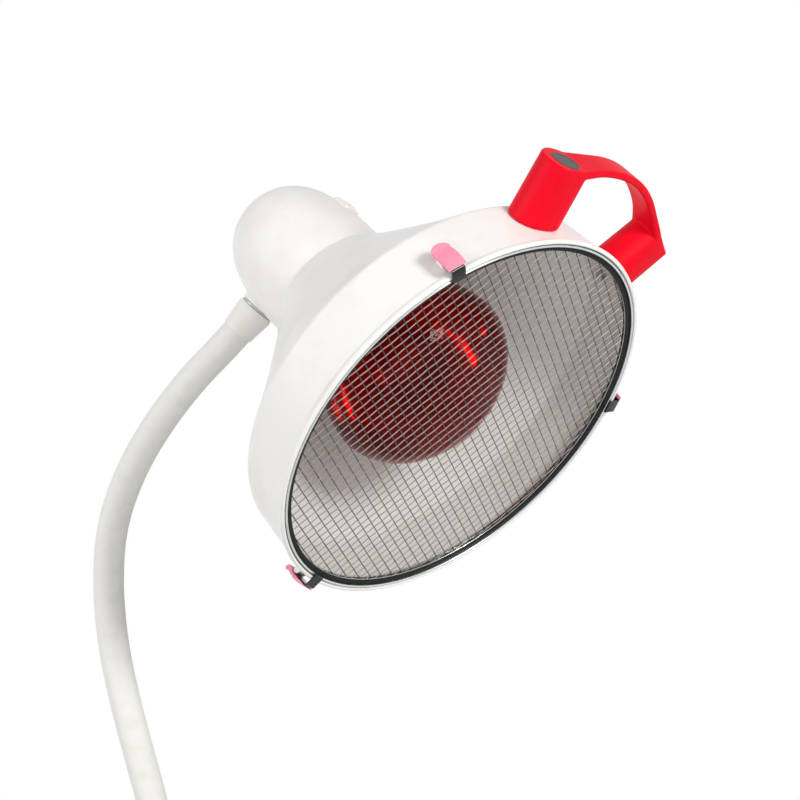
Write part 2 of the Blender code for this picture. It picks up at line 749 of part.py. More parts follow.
def shade_outside():
    """The outside of the shade's wall as (radius, height), from the lip's foot to the neck hole."""
    turn_in = np.array([BAND_BACK_RADIUS, -BAND_DEPTH])
    cone = cone_points()
    cone_way = np.array(cone[0]) - turn_in
    cone_way /= np.linalg.norm(cone_way)
    before = turn_in + np.array([0, BAND_CORNER])
    after = turn_in + cone_way * BAND_CORNER
    eased = (before + 2 * turn_in + after) / 4
    path = [(BAND_FRONT_RADIUS, -LIP_BACK), before, eased, after]
    path += cone + [(SHOULDER_RADIUS, -SHOULDER_DEPTH), (NECK_HOLE_RADIUS, -SHOULDER_DEPTH)]
    return [tuple(point) for point in path]


def build_shade(head):
    """The shade: a rolled lip, a deep band, a hollow cone and a flat shoulder with the neck hole."""
    outside = shade_outside()
    inside = offset_path(outside, -SHADE_WALL)
    root = BAND_FRONT_RADIUS - SHADE_WALL
    lip = [(root + LIP_WIDTH * across, LIP_FRONT * up) for across, up in LIP_SHARES]
    ledge_back = -LEDGE_DEPTH - LEDGE_THICKNESS
    ledge = [
        (root, ledge_back),
        (root - LEDGE_WIDTH, ledge_back),
        (root - LEDGE_WIDTH, -LEDGE_DEPTH),
        (root, -LEDGE_DEPTH),
    ]
    profile = lip + outside + inside[:0:-1] + ledge
    shade = add_object("shade", turned("shade", profile, SHADE_SIDES), "white_enamel", head)
    for k, azimuth in enumerate(HOUSING_SCREW_AZIMUTHS):
        place = world_of(head) @ azimuth_frame(azimuth, HOUSING_SCREW_CIRCLE, -SHOULDER_DEPTH)
        place = place @ Matrix.Rotation(math.pi / SMALL_SIDES, 4, "Z")
        hole = rod(HOUSING_SCREW_RADIUS + GAP, -OVERRUN, SHADE_WALL + OVERRUN)
        mesh = turned(f"shade_hole_{k + 1}", hole, SMALL_SIDES, looped=False)
        combine(shade, cutter(f"shade_hole_{k + 1}", mesh, head, place), "DIFFERENCE")
    for k, side in enumerate((1, -1)):
        place = world_of(head) @ post_frame(side)
        hole = rod(HANDLE_SCREW_RADIUS + GAP, -2 * OVERRUN, OVERRUN)
        mesh = turned(f"band_hole_{k + 1}", hole, SMALL_SIDES, looped=False)
        combine(shade, cutter(f"band_hole_{k + 1}", mesh, head, place), "DIFFERENCE")


def mesh_cells():
    """The grille's square gaps as one mesh of blocks, without those that the rim would cut small."""
    half = (MESH_PITCH - MESH_WIRE) / 2
    reach = FRAME_OUTER_RADIUS - FRAME_WIDTH
    count = int(reach / MESH_PITCH) + 1
    least = half * MESH_LEAST_GAP_SHARE
    vertices = []
    faces = []
    for row in range(-count, count):
        for column in range(-count, count):
            x = (column + 0.5) * MESH_PITCH
            y = (row + 0.5) * MESH_PITCH
            nearest = math.hypot(max(abs(x) - half, 0), max(abs(y) - half, 0))
            if nearest > reach - least:
                continue
            start = len(vertices)
            for z in (-MESH_THICKNESS - OVERRUN, MESH_THICKNESS + OVERRUN):
                for dx, dy in ((-half, -half), (half, -half), (half, half), (-half, half)):
                    vertices.append((x + dx, y + dy, z))
            faces.append((start + 3, start + 2, start + 1, start))
            faces.append((start + 4, start + 5, start + 6, start + 7))
            for side in range(4):
                after = (side + 1) % 4
                faces.append((start + side, start + after, start + after + 4, start + side + 4))
    mesh = bpy.data.meshes.new("mesh_cells")
    mesh.from_pydata(vertices, [], faces)
    return mesh


def build_grille(head):
    """The guard grille: a steel channel, the mesh that it clamps and the dark ring on its face."""
    outer = FRAME_OUTER_RADIUS
    inner = outer - FRAME_WIDTH
    back = -LEDGE_DEPTH + GAP
    slot_high = FRAME_FRONT - FRAME_LEG
    slot_low = slot_high - MESH_THICKNESS - 2 * GAP
    web = outer - FRAME_WEB
    channel = [
        (inner, slot_high),
        (inner, FRAME_FRONT),
        (outer, FRAME_FRONT),
        (outer, back),
        (inner, back),
        (inner, slot_low),
        (web, slot_low),
        (web, slot_high),
    ]
    add_object("grille_frame", turned("grille_frame", channel, SHADE_SIDES), "bright_steel", head)

    low = FRAME_FRONT + GAP
    gasket_outer = outer - GASKET_INSET
    gasket = [
        (gasket_outer - GASKET_WIDTH, low),
        (gasket_outer, low),
        (gasket_outer, low + GASKET_THICKNESS),
        (gasket_outer - GASKET_WIDTH, low + GASKET_THICKNESS),
    ]
    mesh = turned("grille_gasket", gasket, SHADE_SIDES)
    add_object("grille_gasket", mesh, "black_gasket", head)

    middle = (slot_low + slot_high) / 2
    place = world_of(head) @ Matrix.Translation((0, 0, middle)) @ Matrix.Rotation(MESH_TURN, 4, "Z")
    disc = rod(web - GAP, -MESH_THICKNESS / 2, MESH_THICKNESS / 2)
    mesh = turned("grille_mesh", disc, SHADE_SIDES, looped=False)
    net = add_object("grille_mesh", mesh, "bright_steel", head, place)
    cells = cutter("mesh_cells", mesh_cells(), head, place)
    reach = MESH_THICKNESS + 2 * OVERRUN
    rim = turned("mesh_rim", rod(inner, -reach, reach), SHADE_SIDES, looped=False)
    combine(cells, cutter("mesh_rim", rim, head, place), "INTERSECT")
    combine(net, cells, "DIFFERENCE")


def housing_outside():
    """The housing's outside as (radius, height), from its front edge to the top of its dome."""
    front = -SHOULDER_DEPTH - GAP
    shoulder = front - HOUSING_BARREL
    path = [(HOUSING_RADIUS, front), (HOUSING_RADIUS, shoulder)]
    for angle in DOME_ANGLES:
        across = math.cos(angle) ** (2 / DOME_POWER)
        up = math.sin(angle) ** (2 / DOME_POWER)
        path.append((HOUSING_RADIUS * across, shoulder - HOUSING_DOME * up))
    path.append((0, shoulder - HOUSING_DOME))
    return path


def build_housing(head):
    """The rear housing with its screw pillars, the boss for the arm and the switch's pad."""
    outside = housing_outside()
    barrel_end = outside[1][1]
    inner_radius = HOUSING_RADIUS - HOUSING_WALL
    scale = inner_radius / HOUSING_RADIUS
    dome_scale = (HOUSING_DOME - HOUSING_WALL) / HOUSING_DOME
    inside = [(inner_radius, outside[0][1])]
    inside += [(r * scale, barrel_end + (z - barrel_end) * dome_scale) for r, z in outside[1:]]
    mesh = turned("rear_housing", outside + inside[::-1], HOUSING_SIDES, looped=True)
    housing = add_object("rear_housing", mesh, "white_plastic", head)
    front = outside[0][1]

    for k, azimuth in enumerate(HOUSING_SCREW_AZIMUTHS):
        place = world_of(head) @ azimuth_frame(azimuth, HOUSING_SCREW_CIRCLE, front)
        place = place @ Matrix.Rotation(math.pi / SMALL_SIDES, 4, "Z")
        pillar = rod(HOUSING_PILLAR_RADIUS, -HOUSING_PILLAR, -GAP)
        mesh = turned(f"pillar_{k + 1}", pillar, SMALL_SIDES, looped=False)
        combine(housing, cutter(f"pillar_{k + 1}", mesh, head, place), "UNION")
        hole = rod(HOUSING_SCREW_RADIUS + GAP, -HOUSING_SCREW_LENGTH - GAP, OVERRUN)
        mesh = turned(f"pillar_hole_{k + 1}", hole, SMALL_SIDES, looped=False)
        combine(housing, cutter(f"pillar_hole_{k + 1}", mesh, head, place), "DIFFERENCE")
        seat = SHADE_WALL + 2 * GAP
        screw = [
            (0, -HOUSING_SCREW_LENGTH),
            (HOUSING_SCREW_RADIUS, -HOUSING_SCREW_LENGTH),
            (HOUSING_SCREW_RADIUS, seat),
            (HOUSING_SCREW_HEAD_RADIUS, seat),
            (HOUSING_SCREW_HEAD_RADIUS, seat + HOUSING_SCREW_HEAD),
            (0, seat + HOUSING_SCREW_HEAD),
        ]
        name = f"housing_screw_{k + 1}"
        add_object(name, turned(name, screw, SMALL_SIDES, looped=False), "bright_steel", head, place)

    switch_place = world_of(head) @ lying_frame(0, 0, -ARM_AXIS_DEPTH)
    half_width = SWITCH_WIDTH / 2 + SWITCH_PAD_MARGIN
    half_length = SWITCH_LENGTH / 2 + SWITCH_PAD_MARGIN
    pad_low = inner_radius - HOUSING_WALL
    pad = block(
        "switch_pad", (-half_width, -half_length, pad_low), (half_width, half_length, switch_seat())
    )
    combine(housing, cutter("switch_pad", pad, head, switch_place), "UNION")
    hole_width = SWITCH_BODY_WIDTH / 2 + GAP
    hole_length = SWITCH_BODY_LENGTH / 2 + GAP
    hole = block(
        "switch_hole",
        (-hole_width, -hole_length, pad_low - OVERRUN),
        (hole_width, hole_length, switch_seat() + OVERRUN),
    )
    combine(housing, cutter("switch_hole", hole, head, switch_place), "DIFFERENCE")

    boss_place = world_of(head) @ lying_frame(math.pi, 0, -ARM_AXIS_DEPTH)
    boss = rod(ARM_BOSS_RADIUS, BOSS_FACE - ARM_BOSS_DEPTH, BOSS_FACE)
    boss_place = boss_place @ Matrix.Rotation(math.pi / FERRULE_SIDES, 4, "Z")
    mesh = turned("arm_boss", boss, FERRULE_SIDES, looped=False)
    combine(housing, cutter("arm_boss", mesh, head, boss_place), "UNION")
    bore = rod(STUD_RADIUS + GAP, BOSS_FACE - ARM_BOSS_DEPTH - OVERRUN, BOSS_FACE + OVERRUN)
    mesh = turned("arm_bore", bore, SMALL_SIDES, looped=False)
    combine(housing, cutter("arm_bore", mesh, head, boss_place), "DIFFERENCE")


def switch_seat():
    """How far from the lamp's axis the flat pad for the switch stands."""
    return HOUSING_RADIUS - SWITCH_PAD_DROP


def build_switch(head):
    """The switch's body, flanged over the pad, and the rocker on an empty at its pivot."""
    place = world_of(head) @ lying_frame(0, 0, -ARM_AXIS_DEPTH)
    bezel_low = switch_seat() + GAP
    bezel_high = bezel_low + SWITCH_BEZEL
    half_width = SWITCH_BODY_WIDTH / 2
    half_length = SWITCH_BODY_LENGTH / 2
    body = block(
        "switch_body",
        (-half_width, -half_length, bezel_high - SWITCH_BODY_DEPTH),
        (half_width, half_length, bezel_high),
    )
    body_object = add_object("switch_body", body, "white_plastic", head, place)
    bezel = block(
        "switch_bezel",
        (-SWITCH_WIDTH / 2, -SWITCH_LENGTH / 2, bezel_low),
        (SWITCH_WIDTH / 2, SWITCH_LENGTH / 2, bezel_high),
    )
    combine(body_object, cutter("switch_bezel", bezel, head, place), "UNION")
    pivot = bezel_high - ROCKER_PIVOT_DROP
    pocket_width = half_width - SWITCH_WALL
    pocket_length = half_length - SWITCH_WALL / 2
    pocket = block(
        "switch_pocket",
        (-pocket_width, -pocket_length, pivot - ROCKER_POCKET),
        (pocket_width, pocket_length, bezel_high + OVERRUN),
    )
    combine(body_object, cutter("switch_pocket", pocket, head, place), "DIFFERENCE")

    tilt = Matrix.Rotation(-ROCKER_THROW, 4, "X")
    hinge = joint_empty("rocker_pivot", place @ Matrix.Translation((0, 0, pivot)) @ tilt, head)
    end = ROCKER_LENGTH / 2
    keel = end * ROCKER_KEEL_SHARE
    outline = [
        (-end, ROCKER_CROWN),
        (-end / 2, ROCKER_CROWN - ROCKER_DISH * 3 / 4),
        (0, ROCKER_CROWN - ROCKER_DISH),
        (end / 2, ROCKER_CROWN - ROCKER_DISH * 3 / 4),
        (end, ROCKER_CROWN),
        (end + GAP, ROCKER_SKIRT),
        (keel, -ROCKER_KEEL),
        (-keel, -ROCKER_KEEL),
        (-end - GAP, ROCKER_SKIRT),
    ]
    half = pocket_width - GAP
    mesh = extruded("switch_rocker", outline, -half, half, axes="yzx")
    add_object("switch_rocker", mesh, "white_plastic", hinge)


def build_holder(head):
    """The ceramic lamp holder with its screw shell and contact, on a bracket behind it."""
    front = -HOLDER_FRONT_DEPTH
    back = front - HOLDER_LENGTH
    bore = SHELL_RADIUS + GAP
    shell_front = front - SHELL_SET_BACK
    shell_back = shell_front - SHELL_LENGTH
    floor = shell_back - GAP
    stem_hole = CONTACT_STEM_RADIUS + GAP
    body = [
        (bore, front),
        (HOLDER_RADIUS - HOLDER_EDGE, front),
        (HOLDER_RADIUS, front - HOLDER_EDGE),
        (HOLDER_RADIUS, back + HOLDER_EDGE),
        (HOLDER_RADIUS - HOLDER_EDGE, back),
        (stem_hole, back),
        (stem_hole, floor),
        (bore, floor),
    ]
    holder = add_object("lamp_holder", turned("lamp_holder", body, BULB_SIDES), "ceramic", head)
    shell = [
        (SHELL_RADIUS - SHELL_WALL, shell_front),
        (SHELL_RADIUS, shell_front),
        (SHELL_RADIUS, shell_back),
        (SHELL_RADIUS - SHELL_WALL, shell_back),
    ]
    add_object("holder_shell", turned("holder_shell", shell, BULB_SIDES), "brass", head)
    contact_front = -bulb_end_depth() - GAP
    contact = [
        (0, contact_front),
        (CONTACT_RADIUS, contact_front),
        (CONTACT_RADIUS, contact_front - CONTACT_THICKNESS),
        (CONTACT_STEM_RADIUS, contact_front - CONTACT_THICKNESS),
        (CONTACT_STEM_RADIUS, back - CONTACT_TAIL),
        (0, back - CONTACT_TAIL),
    ]
    mesh = turned("holder_contact", contact, SMALL_SIDES, looped=False)
    add_object("holder_contact", mesh, "brass", head)

    foot_back = -SHOULDER_DEPTH - GAP
    plate_front = back - GAP
    half = BRACKET_HALF_SPAN
    strip = BRACKET_STRIP
    outline = [
        (-half - BRACKET_FOOT, foot_back),
        (-half + strip, foot_back),
        (-half + strip, plate_front),
        (half - strip, plate_front),
        (half - strip, foot_back),
        (half + BRACKET_FOOT, foot_back),
        (half + BRACKET_FOOT, foot_back - strip),
        (half, foot_back - strip),
        (half, plate_front - strip),
        (-half, plate_front - strip),
        (-half, foot_back - strip),
        (-half - BRACKET_FOOT, foot_back - strip),
    ]
    mesh = extruded("holder_bracket", outline, -BRACKET_WIDTH / 2, BRACKET_WIDTH / 2, axes="yzx")
    bracket = add_object("holder_bracket", mesh, "bright_steel", head)
    hole = rod(BRACKET_HOLE_RADIUS, plate_front - strip - OVERRUN, plate_front + GAP / 2)
    mesh = turned("bracket_hole", hole, SMALL_SIDES, looped=False)
    combine(bracket, cutter("bracket_hole", mesh, head), "DIFFERENCE")

    for k, side in enumerate((-1, 1)):
        offset = Matrix.Translation((0, side * HOLDER_SCREW_OFFSET, plate_front - strip))
        place = world_of(head) @ offset
        clear = rod(HOLDER_SCREW_RADIUS + GAP, -OVERRUN, strip + HOLDER_SCREW_BITE + GAP)
        mesh = turned(f"holder_screw_hole_{k + 1}", clear, SMALL_SIDES, looped=False)
        hole = cutter(f"holder_screw_hole_{k + 1}", mesh, head, place)
        combine(bracket, hole, "DIFFERENCE")
        combine(holder, hole, "DIFFERENCE")
        screw = [
            (0, -GAP - HOLDER_SCREW_HEAD),
            (HOLDER_SCREW_HEAD_RADIUS, -GAP - HOLDER_SCREW_HEAD),
            (HOLDER_SCREW_HEAD_RADIUS, -GAP),
            (HOLDER_SCREW_RADIUS, -GAP),
            (HOLDER_SCREW_RADIUS, strip + HOLDER_SCREW_BITE),
            (0, strip + HOLDER_SCREW_BITE),
        ]
        name = f"holder_screw_{k + 1}"
        add_object(name, turned(name, screw, SMALL_SIDES, looped=False), "bright_steel", head, place)


def neck_depth():
    """How far behind the grille the bulb's neck meets its cap."""
    return BULB_FRONT_DEPTH + BULB_DOME + BULB_BODY


def bulb_end_depth():
    """How far behind the grille the bulb's end contact lies."""
    return neck_depth() + CAP_LENGTH + CAP_NOSE + CAP_CONTACT


def build_bulb(head):
    """The reflector bulb: glass, cap, end contact, glass stem and filament."""
    widest = -BULB_FRONT_DEPTH - BULB_DOME
    outside = [(0, -BULB_FRONT_DEPTH)]
    for angle in reversed(BULB_DOME_ANGLES):
        outside.append((BULB_RADIUS * math.cos(angle), widest + BULB_DOME * math.sin(angle)))
    for along, across in BULB_BODY_SHARES:
        outside.append((BULB_RADIUS * across, widest - BULB_BODY * along))
    neck = -neck_depth()
    outside += [(BULB_NECK_RADIUS, neck + BULB_TAIL / 2), (BULB_TAIL_RADIUS, neck - GAP)]
    tail_end = neck - BULB_TAIL
    outside.append((BULB_TAIL_RADIUS, tail_end))
    inside = offset_path(outside, -BULB_WALL)
    inside[0] = (0, outside[0][1] - BULB_WALL)
    profile = outside + inside[::-1]
    mesh = turned("bulb_glass", profile, BULB_SIDES, looped=True)
    add_object("bulb_glass", mesh, "red_glass", head)

    cap_end = neck - CAP_LENGTH
    cap_bore = BULB_TAIL_RADIUS + GAP
    cap = [
        (cap_bore, neck),
        (CAP_RADIUS, neck),
        (CAP_RADIUS, cap_end),
        (CAP_NOSE_RADIUS, cap_end - CAP_NOSE),
        (0, cap_end - CAP_NOSE),
        (0, cap_end - CAP_NOSE + CAP_WALL),
        (CAP_NOSE_RADIUS - CAP_WALL, cap_end - CAP_NOSE + CAP_WALL),
        (cap_bore, cap_end),
    ]
    add_object("bulb_cap", turned("bulb_cap", cap, BULB_SIDES, looped=True), "brass", head)
    contact_high = cap_end - CAP_NOSE - GAP
    contact = rod(CAP_CONTACT_RADIUS, contact_high - CAP_CONTACT + GAP, contact_high)
    mesh = turned("bulb_contact", contact, SMALL_SIDES, looped=False)
    add_object("bulb_contact", mesh, "tungsten", head)

    stem = [
        (0, tail_end),
        (STEM_FLARE_RADIUS, tail_end),
        (STEM_FLARE_RADIUS, tail_end + BULB_WALL),
        (STEM_RADIUS, tail_end + STEM_FLARE),
        (STEM_RADIUS, tail_end + STEM_LENGTH),
        (0, tail_end + STEM_LENGTH),
    ]
    mesh = turned("bulb_stem", stem, SMALL_SIDES, looped=False)
    add_object("bulb_stem", mesh, "clear_glass", head)
    build_filament(head, tail_end + STEM_LENGTH + GAP)


def build_filament(head, stem_top):
    """The filament: one wire up from the stem, round most of a circle and back."""
    leg = STEM_RADIUS / 2
    level = -FILAMENT_DEPTH
    route = [(leg, -leg, stem_top), (leg + FILAMENT_RADIUS / 2, -leg, (stem_top + level) / 2)]
    span = 2 * math.pi - FILAMENT_OPENING
    for k in range(FILAMENT_ARC_POINTS):
        angle = -FILAMENT_OPENING / 2 - span * k / (FILAMENT_ARC_POINTS - 1)
        route.append((FILAMENT_RADIUS * math.cos(angle), FILAMENT_RADIUS * math.sin(angle), level))
    route += [(leg + FILAMENT_RADIUS / 2, leg, (stem_top + level) / 2), (leg, leg, stem_top)]
    add_wire("filament", route, FILAMENT_WIRE, "tungsten", head)


def add_wire(name, route, radius, finish, parent):
    """A round wire or lead along a list of points, as a curve with filled ends."""
    curve = bpy.data.curves.new(name, "CURVE")
    curve.dimensions = "3D"
    curve.bevel_depth = radius
    curve.bevel_resolution = 1
    curve.use_fill_caps = True
    spline = curve.splines.new("POLY")
    spline.points.add(len(route) - 1)
    for point, place in zip(spline.points, route):
        point.co = (*place, 1)
    curve.materials.append(material_for(name, finish))
    item = bpy.data.objects.new(name, curve)
    bpy.context.scene.collection.objects.link(item)
    set_place(item, world_of(parent), parent)
    return item


def post_frame(side):
    """The frame of one of the handle's posts, on the band, with its z along the post."""
    azimuth = HANDLE_AZIMUTH + side * HANDLE_HALF_ANGLE
    foot = azimuth_frame(azimuth, BAND_FRONT_RADIUS, -HANDLE_MIDDLE_DEPTH)
    way = lying_frame(HANDLE_AZIMUTH + side * HANDLE_SPLAY, 0, 0)
    return Matrix.Translation(foot.translation) @ way


def bow_rings():
    """Cross-sections of the handle's bow, wider towards the posts, in the handle's frame."""
    end_x = BAND_FRONT_RADIUS * math.cos(HANDLE_HALF_ANGLE) + HANDLE_HEIGHT * math.cos(HANDLE_SPLAY)
    end_y = BAND_FRONT_RADIUS * math.sin(HANDLE_HALF_ANGLE) + HANDLE_HEIGHT * math.sin(HANDLE_SPLAY)
    reach = math.hypot(end_x, end_y)
    rings = []
    for k in range(BOW_STEPS + 1):
        share = 2 * k / BOW_STEPS - 1
        angle = math.atan2(end_y, end_x) * share
        outer = reach - BOW_SINK + (HANDLE_CROWN + BOW_SINK) * (1 - share * share) ** 2
        width = BOW_WIDTH + (BOW_END_WIDTH - BOW_WIDTH) * float(smoothstep(2 * abs(share) - 1))
        ring = []
        inner = outer - BOW_THICKNESS
        for radius, side in ((outer, 1), (outer, -1), (inner, -1), (inner, 1)):
            ring.append((radius * math.cos(angle), radius * math.sin(angle), side * width / 2))
        rings.append(ring)
    return rings


def build_handle(head):
    """The handle, its screws with nuts inside the band, and the plugs over the screws."""
    middle = world_of(head) @ azimuth_frame(HANDLE_AZIMUTH, 0, -HANDLE_MIDDLE_DEPTH)
    handle = add_object("handle", skinned("handle", bow_rings()), "red_plastic", head, middle)
    posts = [world_of(head) @ post_frame(side) for side in (1, -1)]
    for k, place in enumerate(posts):
        post = rod(POST_RADIUS, -POST_RADIUS, HANDLE_HEIGHT)
        mesh = turned(f"post_{k + 1}", post, POST_SIDES, looped=False)
        combine(handle, cutter(f"post_{k + 1}", mesh, head, place), "UNION")
    reach = 2 * HANDLE_HEIGHT
    wide = BAND_FRONT_RADIUS
    trim_place = middle @ Matrix.Translation((BAND_FRONT_RADIUS, 0, POST_RADIUS - POST_FLAT))
    trim_place = trim_place @ Matrix.Rotation(POST_FLAT_TILT, 4, "Y")
    trim = block("post_trim", (-reach, -wide, 0), (reach, wide, POST_RADIUS))
    combine(handle, cutter("post_trim", trim, head, trim_place), "DIFFERENCE")
    slope = (BAND_FRONT_RADIUS - BAND_BACK_RADIUS) / (BAND_DEPTH - LIP_BACK)
    front = BAND_FRONT_RADIUS + GAP + slope * (BAND_DEPTH + LIP_BACK)
    back = BAND_FRONT_RADIUS + GAP - slope * (2 * BAND_DEPTH - LIP_BACK)
    saddle = [(0, -2 * BAND_DEPTH), (back, -2 * BAND_DEPTH), (front, BAND_DEPTH), (0, BAND_DEPTH)]
    mesh = turned("band_saddle", saddle, 2 * SHADE_SIDES, looped=False)
    combine(handle, cutter("band_saddle", mesh, head), "DIFFERENCE")
    pocket_low = HANDLE_HEIGHT + PLUG_PROUD - PLUG_THICKNESS - GAP
    top = HANDLE_HEIGHT + HANDLE_CROWN
    for k, place in enumerate(posts):
        steps = [
            (0, -POST_RADIUS),
            (HANDLE_SCREW_RADIUS + HANDLE_SCREW_PASS, -POST_RADIUS),
            (HANDLE_SCREW_RADIUS + HANDLE_SCREW_PASS, HANDLE_SCREW_FLOOR),
            (HANDLE_SCREW_HEAD_RADIUS + HANDLE_SCREW_PASS, HANDLE_SCREW_FLOOR),
            (HANDLE_SCREW_HEAD_RADIUS + HANDLE_SCREW_PASS, pocket_low),
            (PLUG_RADIUS + GAP, pocket_low),
            (PLUG_RADIUS + GAP, top),
            (0, top),
        ]
        mesh = turned(f"post_bore_{k + 1}", steps, PLUG_SIDES, looped=False)
        combine(handle, cutter(f"post_bore_{k + 1}", mesh, head, place), "DIFFERENCE")

        plug = rod(PLUG_RADIUS, pocket_low + GAP, HANDLE_HEIGHT + PLUG_PROUD)
        name = f"handle_plug_{k + 1}"
        add_object(name, turned(name, plug, PLUG_SIDES, looped=False), "grey_plastic", head, place)

        inside = -SHADE_WALL - HANDLE_SCREW_TIP
        head_low = HANDLE_SCREW_FLOOR + GAP
        screw = [
            (0, inside),
            (HANDLE_SCREW_RADIUS, inside),
            (HANDLE_SCREW_RADIUS, head_low),
            (HANDLE_SCREW_HEAD_RADIUS, head_low),
            (HANDLE_SCREW_HEAD_RADIUS, head_low + HANDLE_SCREW_HEAD),
            (0, head_low + HANDLE_SCREW_HEAD),
        ]
        name = f"handle_screw_{k + 1}"
        add_object(name, turned(name, screw, SMALL_SIDES, looped=False), "bright_steel", head, place)

        nut_high = -SHADE_WALL - HANDLE_NUT_STAND_OFF
        name = f"handle_nut_{k + 1}"
        nut_low = nut_high - HANDLE_NUT_HEIGHT
        mesh = extruded(name, hexagon(HANDLE_NUT_FLATS), nut_low, nut_high)
        nut = add_object(name, mesh, "bright_steel", head, place)
        bore = rod(HANDLE_SCREW_RADIUS + GAP, nut_low - OVERRUN, nut_high + OVERRUN)
        mesh = turned(f"handle_nut_bore_{k + 1}", bore, SMALL_SIDES, looped=False)
        combine(nut, cutter(f"handle_nut_bore_{k + 1}", mesh, head, place), "DIFFERENCE")


def hook_outline():
    """A hook seen along the rim: a nose turned down on the dark ring, outer leg and rolled eye."""
    nose = -CLIP_NOSE_REACH
    foot = CLIP_PIVOT_DEPTH + FRAME_FRONT + GAP + GASKET_THICKNESS + GAP
    under = CLIP_PIVOT_DEPTH + LIP_FRONT + GAP
    over = under + CLIP_STEEL
    leg = CLIP_EYE_RADIUS
    inner = leg - CLIP_STEEL
    corner = CLIP_CORNER
    eased = corner * CLIP_CORNER_SHARE
    outline = [(nose, foot), (nose, over), (leg - corner, over)]
    outline += [(leg - eased, over - eased), (leg, over - corner)]
    sweep = 2 * math.pi - CLIP_EYE_END
    angles = [-sweep * k / CLIP_EYE_STEPS for k in range(CLIP_EYE_STEPS + 1)]
    outline += [(leg * math.cos(a), leg * math.sin(a)) for a in angles]
    outline += [(inner * math.cos(a), inner * math.sin(a)) for a in reversed(angles)]
    bend = corner - CLIP_STEEL
    outline += [(inner, under - bend), (inner - bend, under)]
    outline += [(nose + CLIP_STEEL, under), (nose + CLIP_STEEL, foot)]
    return outline


def tab_outline():
    """A tab seen along the rim: it lies on the hook's leg and runs back past the pivot."""
    seat = CLIP_EYE_RADIUS + GAP
    outline = [(seat, TAB_FRONT)]
    for along, out in TAB_OUTER_SHARES:
        reach = TAB_FRONT if along > 0 else TAB_TAIL
        outline.append((seat + TAB_THICKNESS * out, reach * along))
    for along, out in TAB_INNER_SHARES:
        outline.append((seat + TAB_THICKNESS * out, TAB_TAIL * along))
    outline.append((seat, -CLIP_STEEL))
    return outline


def ear_outline():
    """One ear of a clip's bracket seen along the rim, round about the pin."""
    low = BAND_FRONT_RADIUS + GAP - CLIP_PIVOT_RADIUS + EAR_PLATE / 3
    half = EAR_HALF_LENGTH
    ends = [(low, half), (low, -half)]
    turns = [math.pi * k / EAR_STEPS - math.pi / 2 for k in range(EAR_STEPS + 1)]
    return ends + [(EAR_RADIUS * math.cos(a), EAR_RADIUS * math.sin(a)) for a in turns]


def build_clips(head):
    """Three clips: a bracket with its pin on the band, and a hook with a tab that turn on the pin."""
    for k, azimuth in enumerate(CLIP_AZIMUTHS):
        place = world_of(head) @ azimuth_frame(azimuth, CLIP_PIVOT_RADIUS, -CLIP_PIVOT_DEPTH)
        pivot = joint_empty(f"clip_pivot_{k + 1}", place, head)
        inner = CLIP_EYE_WIDTH / 2 + GAP
        across = inner + EAR_THICKNESS / 2
        low = BAND_FRONT_RADIUS + GAP - CLIP_PIVOT_RADIUS
        name = f"clip_bracket_{k + 1}"
        mesh = block(name, (low, -across, -EAR_PLATE_HALF), (low + EAR_PLATE, across, EAR_PLATE_HALF))
        bracket = add_object(name, mesh, "bright_steel", head, place)
        for side in (-1, 1):
            near, far = sorted((side * inner, side * (inner + EAR_THICKNESS)))
            name = f"ear_{k + 1}_{side + 1}"
            mesh = extruded(name, ear_outline(), near, far, axes="xzy")
            combine(bracket, cutter(name, mesh, head, place), "UNION")
        pin_place = place @ Matrix.Rotation(-math.pi / 2, 4, "X")
        pin = rod(CLIP_PIN_RADIUS, -across, across)
        mesh = turned(f"clip_pin_{k + 1}", pin, SMALL_SIDES, looped=False)
        combine(bracket, cutter(f"clip_pin_{k + 1}", mesh, head, pin_place), "UNION")

        name = f"clip_hook_{k + 1}"
        mesh = extruded(name, hook_outline(), -CLIP_WIDTH / 2, CLIP_WIDTH / 2, axes="xzy")
        hook = add_object(name, mesh, "dark_steel", pivot)
        low = -CLIP_EYE_RADIUS - OVERRUN
        high = CLIP_EYE_RADIUS + OVERRUN
        for side in (-1, 1):
            near, far = sorted((side * CLIP_EYE_WIDTH / 2, side * (CLIP_WIDTH / 2 + OVERRUN)))
            name = f"hook_notch_{k + 1}_{side + 1}"
            mesh = block(name, (low, near, low), (high, far, high))
            combine(hook, cutter(name, mesh, pivot), "DIFFERENCE")
        name = f"clip_tab_{k + 1}"
        mesh = extruded(name, tab_outline(), -TAB_WIDTH / 2, TAB_WIDTH / 2, axes="xzy")
        add_object(name, mesh, "pink_plastic", pivot)


